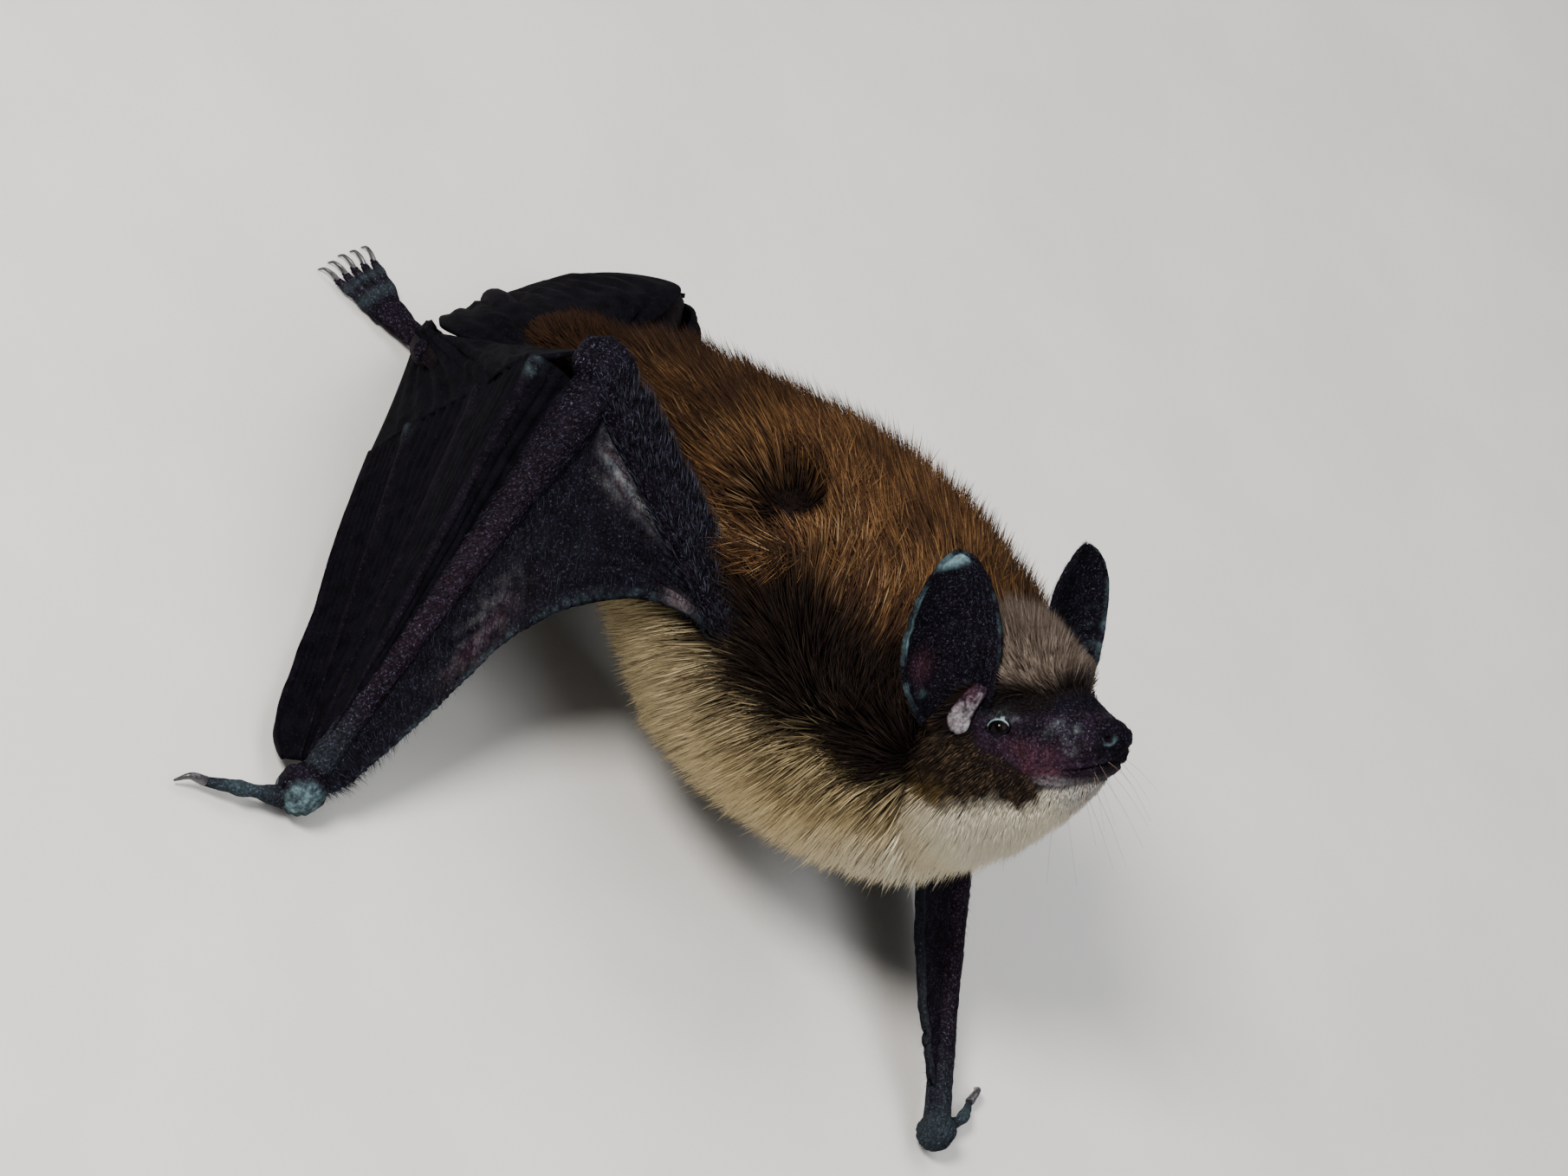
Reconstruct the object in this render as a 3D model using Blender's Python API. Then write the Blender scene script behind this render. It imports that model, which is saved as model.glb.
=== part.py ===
"""Bat at rest on its wrists and feet: solid parts, real size, +Z up."""
import bpy
import bmesh
import mathutils
import math
import numpy as np


def v(*p):
    return np.array(p, float)


def unit(p):
    p = np.asarray(p, float)
    return p / np.linalg.norm(p, axis=-1, keepdims=True)


def ramp(x, a, b):
    t = np.clip((np.asarray(x, float) - a) / (b - a), 0.0, 1.0)
    return t * t * (3.0 - 2.0 * t)


def bell(x, c, w):
    return np.exp(-((np.asarray(x, float) - c) / w) ** 2)


def curve(keys, t):
    """Smooth curve through rows of keys; the first column is the station."""
    k = np.array(keys, float)
    x, y = k[:, 0], k[:, 1:]
    t = np.atleast_1d(np.asarray(t, float))
    h = np.diff(x)
    d = np.diff(y, axis=0) / h[:, None]
    m = np.vstack([d[:1], (d[:-1] * h[1:, None] + d[1:] * h[:-1, None]) / (h[1:] + h[:-1])[:, None], d[-1:]])
    i = np.clip(np.searchsorted(x, t, side="right") - 1, 0, len(x) - 2)
    g = h[i][:, None]
    s = (t - x[i])[:, None] / g
    return (y[i] * (1 + 2 * s) * (1 - s) ** 2 + m[i] * g * s * (1 - s) ** 2
            + y[i + 1] * s * s * (3 - 2 * s) + m[i + 1] * g * s * s * (s - 1))


def path(points, t):
    """Smooth path through points, t from 0 to 1 by chord length."""
    p = np.array(points, float)
    c = np.concatenate([[0.0], np.cumsum(np.linalg.norm(np.diff(p, axis=0), axis=1))])
    return curve(np.column_stack([c / c[-1], p]), t)


def frames(centres, up):
    """Side and up vectors across a row of centres."""
    tan = np.gradient(centres, axis=0)
    tan = unit(tan)
    up = np.broadcast_to(np.asarray(up, float), tan.shape)
    side = unit(np.cross(up, tan))
    return tan, side, np.cross(tan, side)


def rings(centres, side, up, half, top, bottom, n, power=2.0):
    """Superellipse rings: half width, height above and depth below the centre."""
    th = 2 * math.pi * (np.arange(n) + 0.5) / n
    c, s = np.cos(th), np.sin(th)
    e = 2.0 / np.broadcast_to(np.asarray(power, float), (len(centres),))[:, None]
    cx = np.sign(c) * np.abs(c) ** e
    sy = np.sign(s) * np.abs(s) ** e
    hy = np.where(s > 0, np.asarray(top, float)[:, None], np.asarray(bottom, float)[:, None])
    return (centres[:, None, :] + (cx * np.asarray(half, float)[:, None])[..., None] * side[:, None, :]
            + (sy * hy)[..., None] * up[:, None, :])


def skin(r, closed_ends=True):
    """Closed mesh over a stack of rings, first and last ring capped to a middle point."""
    m, n = r.shape[:2]
    verts = list(r.reshape(-1, 3))
    faces = []
    for i in range(m - 1):
        for j in range(n):
            k = (j + 1) % n
            faces.append((i * n + j, i * n + k, (i + 1) * n + k, (i + 1) * n + j))
    a, b = len(verts), len(verts) + 1
    verts.append(r[0].mean(axis=0))
    verts.append(r[-1].mean(axis=0))
    for j in range(n):
        k = (j + 1) % n
        faces.append((a, k, j))
        faces.append((b, (m - 1) * n + j, (m - 1) * n + k))
    return np.array(verts), faces


def sheet(grid, thick):
    """Closed thin solid about a grid of points, of the given thickness."""
    g = np.asarray(grid, float)
    m, n = g.shape[:2]
    nrm = unit(np.cross(np.gradient(g, axis=0), np.gradient(g, axis=1)))
    th = np.broadcast_to(np.asarray(thick, float), (m, n))[..., None] * 0.5
    verts = np.concatenate([(g + nrm * th).reshape(-1, 3), (g - nrm * th).reshape(-1, 3)])
    o = m * n
    faces = []
    for i in range(m - 1):
        for j in range(n - 1):
            a, b, c, d = i * n + j, i * n + j + 1, (i + 1) * n + j + 1, (i + 1) * n + j
            faces.append((a, d, c, b))
            faces.append((o + a, o + b, o + c, o + d))
    rim = ([(0, j) for j in range(n)] + [(i, n - 1) for i in range(1, m)]
           + [(m - 1, j) for j in range(n - 2, -1, -1)] + [(i, 0) for i in range(m - 2, 0, -1)])
    for q in range(len(rim)):
        a = rim[q][0] * n + rim[q][1]
        b = rim[(q + 1) % len(rim)][0] * n + rim[(q + 1) % len(rim)][1]
        faces.append((a, b, o + b, o + a))
    return verts, faces


def stretched(c, tan, grow):
    """Row of centres with its two ends carried outwards."""
    c = np.array(c)
    c[0] -= tan[0] * grow
    c[-1] += tan[-1] * grow
    return c


def tube(points, radius, n=10, rows=9, flat=1.0, up=(0, 0, 1), grow=0.0, t0=0.0, t1=1.0):
    """Round or flattened limb along a path; radius is rows of (station, radius)."""
    t = np.linspace(t0, t1, rows)
    c = path(points, t)
    tan, side, top = frames(c, up)
    c = stretched(c, tan, grow)
    r = curve(radius, t)[:, 0] + grow
    q = rings(c, side, top, r, r * flat, r * flat, n)
    # rounded ends
    return skin(q)


# ------------------------------------------------------------------ sizes, millimetres
GAP = 0.3
# right arm
SHOULDER_R = v(19.6, -9.6, 20.6)
ELBOW_R = v(1.7, -13.4, 25.4)
WRIST_R = v(14.5, -32.7, 2.3)
THUMB_R = [v(14.6, -33.2, 1.5), v(13.2, -36.2, 1.7), v(11.4, -38.7, 1.0)]
# right hand, folded: ends of the fifth, fourth and third metacarpals, and of the folded tips
KNUCKLE5_R, KNUCKLE4_R, KNUCKLE3_R = v(-1.1, -16.9, 24.2), v(-2.9, -13.4, 16.0), v(-4.6, -11.4, 7.6)
TIPS_R = [v(11.0, -31.9, 1.6), v(7.1, -27.5, 1.7), v(3.7, -22.8, 2.1), v(0.0, -18.2, 2.5), v(-5.3, -10.3, 2.4)]
# free edge of the right front membrane, shoulder to wrist
PRO_R = [v(19.2, -10.6, 20.0), v(16.6, -12.1, 19.7), v(14.6, -14.1, 18.9), v(13.3, -16.7, 17.2),
         v(12.8, -20.4, 14.1), v(14.3, -25.5, 8.8), v(15.9, -31.2, 3.2)]
# left arm
SHOULDER_L = v(21.0, 9.5, 18.5)
ELBOW_L = v(26.9, 23.7, 9.4)
WRIST_L = v(52.4, 3.9, 2.0)
THUMB_L = [v(52.2, 4.6, 1.6), v(52.4, 7.6, 1.5), v(51.6, 10.2, 0.8)]
KNUCKLE5_L, KNUCKLE4_L, KNUCKLE3_L = v(25.0, 25.7, 8.0), v(24.0, 26.7, 5.5), v(23.8, 26.9, 3.2)
TIPS_L = [v(50.4, 6.4, 1.5), v(40.0, 16.0, 1.5), v(24.8, 25.2, 1.5)]
PRO_L = [v(24.5, 11.5, 17.0), v(30.0, 12.5, 13.4), v(37.2, 8.8, 8.4), v(44.0, 6.4, 5.2), v(51.2, 4.2, 2.7)]
# hind legs
HIP_R, KNEE_R, ANKLE_R, TOES_R = v(-1.5, -3.5, 12.5), v(-8.8, -8.0, 9.2), v(-11.8, 1.5, 2.4), v(-20.6, 0.2, 0.7)
HIP_L, KNEE_L, ANKLE_L, TOES_L = v(-1.5, 3.0, 12.5), v(-6.4, 15.0, 11.6), v(-12.6, 15.6, 2.4), v(-9.6, 24.0, 0.7)
# tail, curled under
TAIL = [v(-7.0, -0.6, 11.2), v(-10.6, 1.8, 9.0), v(-12.2, 5.2, 5.4), v(-10.6, 8.2, 1.9), v(-5.6, 8.6, 1.0), v(1.0, 7.2, 0.9)]

# trunk stations: s, centre x y z, half width, half height; out to the tips of the coat
TRUNK = [
    (0.00, -7.0, -0.9, 12.0, 1.6, 1.5),
    (0.06, -5.4, -0.9, 12.3, 3.6, 3.4),
    (0.22, -0.4, -0.9, 13.4, 6.2, 6.2),
    (0.32, 3.4, -0.7, 14.9, 8.3, 8.1),
    (0.42, 7.6, -0.4, 16.4, 9.9, 9.4),
    (0.60, 16.2, -0.4, 18.7, 12.6, 12.3),
    (0.78, 24.0, 0.1, 20.0, 12.8, 12.9),
    (0.90, 29.4, 0.0, 22.6, 11.4, 11.8),
    (1.00, 33.2, -0.9, 25.8, 9.0, 9.8),
]
# head: origin at the nose tip, x forward, y left, z to the crown
NOSE = v(38.65, -2.34, 37.37)
HEAD_X = unit(v(0.474, -0.097, 0.874))
HEAD_Y = unit(v(0.204, 0.979, -0.002) - HEAD_X * (v(0.204, 0.979, -0.002) @ HEAD_X))
HEAD_Z = np.cross(HEAD_X, HEAD_Y)
# head stations: x, half width, top, bottom
HEAD = [
    (-16.5, 6.4, 5.6, -8.6),
    (-14.0, 6.8, 7.0, -9.0),
    (-11.5, 6.2, 8.0, -8.5),
    (-9.5, 5.1, 8.1, -7.6),
    (-7.6, 3.8, 7.3, -6.75),
    (-5.8, 3.15, 5.7, -5.8),
    (-4.2, 2.8, 3.6, -4.7),
    (-2.9, 2.42, 1.85, -3.5),
    (-1.9, 1.95, 1.1, -2.6),
    (-1.1, 1.35, 0.75, -1.75),
    (-0.45, 0.65, 0.32, -0.9),
]


def head_point(p):
    p = np.asarray(p, float)
    return NOSE + p[..., :1] * HEAD_X + p[..., 1:2] * HEAD_Y + p[..., 2:3] * HEAD_Z


def trunk_rings(n=28, rows=20, grow=0.0, s0=0.0, s1=1.0):
    s = np.linspace(s0, s1, rows)
    k = curve(TRUNK, s)
    c = k[:, :3]
    full = curve(TRUNK, np.linspace(0, 1, 101))[:, :3]
    tan = np.gradient(full, axis=0)
    tan = unit(np.column_stack([np.interp(s, np.linspace(0, 1, 101), tan[:, q]) for q in range(3)]))
    side = unit(np.cross(v(0, 0, 1), tan))
    up = np.cross(tan, side)
    c = stretched(c, tan, grow)
    return rings(c, side, up, k[:, 3] + grow, k[:, 4] + grow, k[:, 4] + grow, n, 2.1)


def head_rings(n=28, rows=22, grow=0.0):
    x = np.linspace(HEAD[0][0], HEAD[-1][0], rows)
    k = curve(HEAD, x)
    mid = 0.5 * (k[:, 1] + k[:, 2])
    c = stretched(np.column_stack([x, 0 * x, mid]), np.tile(v(1, 0, 0), (rows, 1)), grow)
    hh = 0.5 * (k[:, 1] - k[:, 2])
    one = np.ones((rows, 1))
    r = rings(c, one * v(0, 1, 0), one * v(0, 0, 1), k[:, 0] + grow, hh + grow, hh + grow, n, 2.15)
    return head_point(r)
# ears in head space: base centre, tip, opening direction
EAR_BASE = v(-10.6, -4.6, 1.2)
EAR_TIP = v(-8.3, -6.4, 11.9)
EAR_OPEN = v(0.80, -0.60, 0.0)
# outline: height along the ear, rear margin, front margin (across)
EAR = [
    (0.00, -2.2, 1.5),
    (0.15, -3.2, 2.05),
    (0.35, -3.7, 2.6),
    (0.55, -3.3, 2.75),
    (0.75, -2.45, 2.3),
    (0.90, -1.35, 1.5),
    (0.98, -0.4, 0.75),
]
# the left ear is seen from in front, more open above and curled in below
EAR_L = [
    (0.00, -1.5, 1.6),
    (0.15, -2.0, 2.3),
    (0.35, -3.0, 3.0),
    (0.55, -3.35, 3.4),
    (0.75, -3.0, 3.1),
    (0.90, -2.15, 1.8),
    (0.98, -1.2, 0.5),
]


EAR_OPEN_L = v(0.990, 0.14, 0.0)


def ear_frame(flip=1.0):
    m = v(1, flip, 1)
    b, t, o = EAR_BASE * m, EAR_TIP * m, EAR_OPEN if flip > 0 else EAR_OPEN_L
    a = unit(t - b)
    o = unit(o - a * (o @ a))
    w = np.cross(a, o) * flip       # towards the front margin
    return b, t, a, o, w


def ear_grid(rows=13, cols=11, flip=1.0, e0=0.0):
    b, t, a, o, w = ear_frame(flip)
    L = np.linalg.norm(t - b)
    s = np.linspace(e0, 0.98, rows)
    k = curve(EAR if flip > 0 else EAR_L, s)
    g = np.zeros((rows, cols, 3))
    for i in range(rows):
        half = 0.5 * (k[i, 1] - k[i, 0])
        mid = 0.5 * (k[i, 1] + k[i, 0])
        open_a = 1.75 - 1.15 * ramp(s[i], 0.0, 0.75)    # arc half angle of the cup
        q = np.linspace(-1, 1, cols) * open_a
        R = half / math.sin(min(open_a, math.pi / 2))
        across = mid + R * np.sin(q)
        out = R * (1 - np.cos(q))
        g[i] = b + a * L * s[i] + across[:, None] * w + out[:, None] * o - o * 1.2 * ramp(s[i], 1.0, 0.0)
    return head_point(g)


def fan(root, across, ends, spans, rows, cols, start=0.03):
    """Sheet of lines that spread from a wrist; ends and spans say where each digit runs."""
    j = np.linspace(0, 1, cols)
    r = np.linspace(start, 1, rows)
    lines = []
    for e, sp in zip(ends, spans):
        o = root + across * (0.5 - sp)
        pts = [o] + list(e) if isinstance(e, list) else [o, 0.5 * (o + e), e]
        lines.append(path(pts, r))
    lines = np.array(lines)                       # digit, row, xyz
    out = np.zeros((rows, cols, 3))
    for i in range(rows):
        out[i] = curve([[sp, *lines[k, i]] for k, sp in enumerate(spans)], j)
    return out, r, j


def ridges(j, spans, width):
    return sum(bell(j, sp, width) for sp in spans)


FAN_SPANS = [0.0, 0.14, 0.42, 0.72, 1.0]


def hand_grid(side, rows=15, cols=29):
    if side == "R":
        root, across = WRIST_R + v(-0.9, 0.6, 0.3), v(1.0, 0.3, 2.2)
        ends = [ELBOW_R + v(-0.5, -1.2, -1.6), KNUCKLE5_R, KNUCKLE4_R, KNUCKLE3_R, TIPS_R]
    else:
        root, across = WRIST_L + v(-1.0, 1.0, 0.2), v(0.2, -1.2, 1.4)
        ends = [ELBOW_L + v(0.4, 1.4, -0.9), KNUCKLE5_L, KNUCKLE4_L, KNUCKLE3_L, TIPS_L]
    g, r, j = fan(root, across, ends, FAN_SPANS, rows, cols, 0.04)
    th = 0.55 + (1.0 - 0.35 * r[:, None]) * (0.75 * ridges(j, FAN_SPANS[1:4], 0.045) + 0.6 * bell(j, 1.0, 0.06))[None, :]
    return g, th


def between(line_a, line_b, rows, cols, sag=(0, 0, 0), power=1.0):
    """Sheet between two edges, hung in the middle by sag."""
    t = np.linspace(0, 1, rows)
    j = np.linspace(0, 1, cols)
    a, b = path(line_a, t), path(line_b, t)
    g = a[:, None, :] * (1 - j)[None, :, None] + b[:, None, :] * j[None, :, None]
    w = (4 * j * (1 - j))[None, :, None] ** power
    return g + w * np.asarray(sag, float)


def plagio_grid(side, rows=13, cols=21):
    if side == "R":
        front = [ELBOW_R + v(-1.9, 0.3, -0.6), KNUCKLE5_R + v(-0.3, 0.2, -1.0), KNUCKLE4_R, KNUCKLE3_R, TIPS_R[-1]]
        back = [v(-3.6, -4.6, 16.2), v(-6.6, -7.2, 13.4), KNEE_R + v(-0.3, -0.6, 1.9), KNEE_R * 0.5 + ANKLE_R * 0.5 + v(-1.2, -0.6, 1.6), ANKLE_R + v(-0.6, -1.6, 0.6)]
        g = between(front, back, cols, rows, (0.1, 0.1, 0.1)).transpose(1, 0, 2)
    else:
        inner = [v(20.0, 12.3, 16.5), v(9.0, 10.6, 14.0), v(0.0, 6.6, 12.6), KNEE_L + v(1.2, 0.6, 0.6), ANKLE_L + v(1.2, 1.4, 0.8)]
        outer = [ELBOW_L + v(-1.0, 0.0, -1.6), v(23.0, 25.4, 3.2), v(10.0, 24.0, 2.6), v(-2.0, 20.0, 2.8), ANKLE_L + v(1.0, 3.0, 0.3)]
        g = between(inner, outer, cols, rows, (0.0, 0.0, 0.5))
    return g, 0.6


def pro_grid(side, rows=19, cols=8):
    if side == "R":
        inner, outer = [SHOULDER_R, ELBOW_R, WRIST_R], PRO_R
    else:
        inner, outer = [SHOULDER_L, ELBOW_L, WRIST_L], PRO_L
    t = np.linspace(0.03, 0.97, rows)
    j = np.linspace(0, 1, cols)
    a, b = path(inner, t), path(outer, t)
    # keep the bend of the elbow sharp
    L1, L2 = np.linalg.norm(inner[1] - inner[0]), np.linalg.norm(inner[2] - inner[1])
    q = L1 / (L1 + L2)
    a = np.where(t[:, None] < q, inner[0] + (inner[1] - inner[0]) * (t / q)[:, None], inner[1] + (inner[2] - inner[1]) * ((t - q) / (1 - q))[:, None])
    g = a[:, None, :] * (1 - j)[None, :, None] + b[:, None, :] * j[None, :, None]
    th = 0.55 + 0.25 * bell(j, 1.0, 0.08)[None, :] + 0 * t[:, None]
    return g, th


def uro_grid(rows=9, cols=17):
    """Tail membrane, from shin to shin over the tail."""
    right = [v(-3.6, -5.4, 14.6), KNEE_R + v(-0.5, 1.0, 1.7), KNEE_R * 0.5 + ANKLE_R * 0.5 + v(-1.2, 0.8, 1.4), ANKLE_R + v(-0.6, 0.4, 1.2)]
    left = [v(-3.6, 4.6, 14.6), KNEE_L + v(-0.4, -0.8, 1.6), KNEE_L * 0.5 + ANKLE_L * 0.5 + v(-1.4, -0.6, 1.2), ANKLE_L + v(-0.6, -0.8, 1.2)]
    return between(right, left, rows, cols, (-0.2, 0.0, 0.2)), 0.6


def knob(centre, size, n=16, rows=9, grow=0.0):
    """Rounded pad, three half sizes."""
    ph = np.linspace(0, math.pi, rows + 2)[1:-1]
    th = 2 * math.pi * np.arange(n) / n
    sx, sy, sz = np.asarray(size, float) + grow
    r = np.stack([np.outer(np.sin(ph), np.cos(th)) * sx, np.outer(np.sin(ph), np.sin(th)) * sy,
                  np.outer(-np.cos(ph), np.ones(n)) * sz], -1) + np.asarray(centre, float)
    vv, ff = skin(r)
    vv[-2] = np.asarray(centre, float) - v(0, 0, sz)
    vv[-1] = np.asarray(centre, float) + v(0, 0, sz)
    return vv, ff


def foot_grid(ankle, toes, spread=3.4, rows=10, cols=21):
    """Foot as a fan of five toes; returns grid and thickness."""
    d = toes - ankle
    L = np.linalg.norm(d[:2])
    d = unit(v(d[0], d[1], 0))
    w = v(-d[1], d[0], 0)
    r = np.linspace(0, 1, rows)
    j = np.linspace(-1, 1, cols)
    toe = 0.5 + 0.5 * np.cos(j * 5 * math.pi)
    reach = 0.80 + 0.20 * toe
    g = np.zeros((rows, cols, 3))
    half = 0.75 + (spread - 0.75) * r ** 1.3
    for i in range(rows):
        h = 0.62 + 1.1 * (1 - ramp(r[i], 0, 0.6))
        g[i] = ankle * v(1, 1, 0) + d * (L * r[i] * (1 - (1 - reach) * ramp(r[i], 0.5, 1.0)))[:, None] + w * (j * half[i])[:, None] + v(0, 0, h)
    th = 0.6 + 0.75 * (1 - ramp(r, 0.0, 0.7))[:, None] + 0.6 * (toe ** 2)[None, :] * ramp(r, 0.25, 0.55)[:, None] * (1 - 0.45 * ramp(r, 0.8, 1.0))[:, None]
    return g, th


def floor_flat(vv):
    vv = np.array(vv)
    vv[:, 2] = np.maximum(vv[:, 2], 0.0)
    return vv


ARMS = {
    "R": (SHOULDER_R, ELBOW_R, WRIST_R, THUMB_R, [v(11.5, -38.6, 1.1), v(10.9, -39.6, 1.2), v(10.6, -40.3, 0.45)]),
    "L": (SHOULDER_L, ELBOW_L, WRIST_L, THUMB_L, [v(51.6, 10.1, 0.9), v(51.2, 11.2, 1.1), v(50.9, 11.9, 0.45)]),
}
EYE_AT = v(-7.45, -3.15, 0.6)
EYE_R = 0.85


TRAGUS = [v(-10.7, -5.6, 0.6), v(-10.0, -5.3, 1.9), v(-9.0, -4.7, 3.3)]


def tragus_grid(flip=1.0, rows=6, cols=5):
    """Short blunt blade folded across the mouth of the ear."""
    m = v(1, flip, 1)
    s = np.linspace(0, 1, rows)
    c = path(TRAGUS, s)
    out = unit(v(0.67, -0.74, 0.0))
    across = unit(np.cross(out, unit(TRAGUS[2] - TRAGUS[0])))
    half = 0.25 + 0.75 * np.sqrt(np.clip(1 - (2.2 * s - 0.7) ** 2 / 2.3, 0, 1))
    j = np.linspace(-1, 1, cols)
    g = c[:, None, :] + across * (j[None, :] * half[:, None])[..., None]
    return head_point(g * m)


def floored(shape):
    return floor_flat(shape[0]), shape[1]


def floor_shape(ankle, toes, rows=6, cols=21):
    g, th = foot_grid(ankle, toes, rows=rows, cols=cols)
    return floored(sheet(g, th))


def flank_grid(rows=9, cols=5):
    """Web behind the right upper arm, from the arm to the flank."""
    arm = [SHOULDER_R + v(-1.5, -1.0, -1.0), ELBOW_R + v(0.2, 0.9, -1.6), v(-2.6, -5.6, 15.4)]
    flank = [v(16.0, -10.0, 14.0), v(7.0, -7.6, 13.4), v(-1.4, -4.2, 13.0)]
    return between(arm, flank, rows, cols, (0.0, -0.6, -0.4)), 0.6


# ------------------------------------------------------------------ grown copies, for the gaps
def widen(g, e):
    """Grid carried past its own four edges by e."""
    g = np.asarray(g, float)
    a = g[0] + unit(g[0] - g[1]) * e
    b = g[-1] + unit(g[-1] - g[-2]) * e
    g = np.concatenate([a[None], g, b[None]], 0)
    a = g[:, 0] + unit(g[:, 0] - g[:, 1]) * e
    b = g[:, -1] + unit(g[:, -1] - g[:, -2]) * e
    return np.concatenate([a[:, None], g, b[:, None]], 1)


def grown_sheet(grid, thick):
    g = np.asarray(grid, float)
    th = np.broadcast_to(np.asarray(thick, float), g.shape[:2])
    th = np.pad(th, 1, mode="edge") + 2 * GAP
    return sheet(widen(g, GAP), th)


MM = 0.001
for old in list(bpy.data.objects):
    bpy.data.objects.remove(old, do_unlink=True)

bat = bpy.data.collections.new("bat")
cutters = bpy.data.collections.new("cutters")
bpy.context.scene.collection.children.link(bat)
bpy.context.scene.collection.children.link(cutters)

FUR_BACK = (0.085, 0.045, 0.022)
FUR_HEAD = (0.10, 0.075, 0.055)
BARE = (0.022, 0.019, 0.028)
MEMBRANE = (0.014, 0.013, 0.020)
HORN = (0.05, 0.045, 0.045)
EYE = (0.004, 0.003, 0.003)


def material(name, colour, roughness):
    m = bpy.data.materials.new(name)
    m.use_nodes = True
    b = m.node_tree.nodes["Principled BSDF"]
    b.inputs["Base Color"].default_value = (*colour, 1.0)
    b.inputs["Roughness"].default_value = roughness
    b.inputs["Metallic"].default_value = 0.0
    return m


def make(name, shape, collection):
    verts, faces = shape
    mesh = bpy.data.meshes.new(name)
    mesh.from_pydata([tuple(p * MM) for p in np.asarray(verts)], [], [tuple(f) for f in faces])
    bm = bmesh.new()
    bm.from_mesh(mesh)
    bmesh.ops.remove_doubles(bm, verts=bm.verts, dist=1e-6)
    bmesh.ops.dissolve_degenerate(bm, edges=bm.edges, dist=1e-6)
    bmesh.ops.triangulate(bm, faces=bm.faces)
    bmesh.ops.recalc_face_normals(bm, faces=bm.faces)
    bm.to_mesh(mesh)
    bm.free()
    ob = bpy.data.objects.new(name, mesh)
    collection.objects.link(ob)
    return ob


def largest_body(mesh):
    """Keep only the biggest connected piece, and tidy what the cuts left."""
    bm = bmesh.new()
    for reach in (2e-5, 5e-6, 1e-6, 0.0):
        bm.clear()
        bm.from_mesh(mesh)
        bmesh.ops.triangulate(bm, faces=bm.faces)
        if reach:
            bmesh.ops.remove_doubles(bm, verts=bm.verts, dist=reach)
            bmesh.ops.dissolve_degenerate(bm, edges=bm.edges, dist=reach)
            bmesh.ops.triangulate(bm, faces=bm.faces)
        if all(len(e.link_faces) == 2 for e in bm.edges):
            break
    bm.faces.index_update()
    seen, best = set(), []
    for f in bm.faces:
        if f.index in seen:
            continue
        stack, body = [f], []
        seen.add(f.index)
        while stack:
            g = stack.pop()
            body.append(g)
            for e in g.edges:
                for h in e.link_faces:
                    if h.index not in seen:
                        seen.add(h.index)
                        stack.append(h)
        if sum(q.calc_area() for q in body) > sum(q.calc_area() for q in best):
            best = body
    keep = set(q.index for q in best)
    bmesh.ops.delete(bm, geom=[q for q in bm.faces if q.index not in keep], context="FACES")
    loose = [q for q in bm.verts if not q.link_faces]
    bmesh.ops.delete(bm, geom=loose, context="VERTS")
    bm.to_mesh(mesh)
    bm.free()


def volume(mesh):
    """Volume of a closed mesh in cubic millimetres, or -1 if it is open."""
    bm = bmesh.new()
    bm.from_mesh(mesh)
    good = len(bm.faces) > 0 and all(len(e.link_faces) == 2 for e in bm.edges)
    size = bm.calc_volume(signed=True) * 1e9 if good else -1.0
    bm.free()
    return size


def part(name, shape, colour, roughness, cuts=()):
    ob = make(name, shape, bat)
    size = volume(ob.data)
    for c in cuts:
        tool = make(name + "_cut", c, cutters)
        tool.hide_render = True
        tool.display_type = "WIRE"
        for solver in ("EXACT", "MANIFOLD"):
            mod = ob.modifiers.new("gap", "BOOLEAN")
            mod.operation = "DIFFERENCE"
            mod.solver = solver
            mod.object = tool
            deps = bpy.context.evaluated_depsgraph_get()
            mesh = bpy.data.meshes.new_from_object(ob.evaluated_get(deps))
            ob.modifiers.clear()
            left = volume(mesh)
            if 0.02 * size < left <= 1.001 * size:
                break
        size = left
        old = ob.data
        ob.data = mesh
        bpy.data.meshes.remove(old)
        tool_mesh = tool.data
        bpy.data.objects.remove(tool)
        bpy.data.meshes.remove(tool_mesh)
    if cuts:
        ob.data.name = name
        largest_body(ob.data)
    ob.data.materials.clear()
    ob.data.materials.append(material(name, colour, roughness))
    ob.data.shade_smooth()
    ob.data.set_sharp_from_angle(angle=math.radians(50))
    return ob


# ------------------------------------------------------------------ the animal
SPLIT = 0.875                       # where the trunk ends and the neck begins


def trunk(grow=0.0):
    return skin(trunk_rings(24, 14, grow, 0.0, SPLIT))


def neck(grow=0.0):
    return skin(trunk_rings(24, 5, grow, SPLIT + 0.012, 1.0))


def head(grow=0.0):
    return skin(head_rings(22, 16, grow))


def eye(flip, grow=0.0):
    return knob(head_point(EYE_AT * v(1, flip, 1)), v(1, 1, 1) * EYE_R, 12, 7, grow)


def ear(flip):
    return ear_grid(11, 9, flip), 0.6


def tragus(flip):
    return tragus_grid(flip), 0.55


BODY = [trunk(GAP), neck(GAP)]
part("trunk", trunk(), FUR_BACK, 0.85)
part("neck", neck(), FUR_BACK, 0.85)
part("head", head(), FUR_HEAD, 0.8, BODY + [eye(1, GAP), eye(-1, GAP)])
for side, flip in (("right", 1), ("left", -1)):
    part("eye_" + side, eye(flip), EYE, 0.1)
    part("ear_" + side, sheet(*ear(flip)), BARE, 0.5, [head(GAP)] + BODY)
    part("tragus_" + side, sheet(*tragus(flip)), BARE, 0.5, [head(GAP), grown_sheet(*ear(flip))] + BODY)

legs = {"right": (HIP_R, KNEE_R, ANKLE_R, TOES_R), "left": (HIP_L, KNEE_L, ANKLE_L, TOES_L)}
feet = {s: floor_shape(legs[s][2], legs[s][3]) for s in legs}


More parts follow.
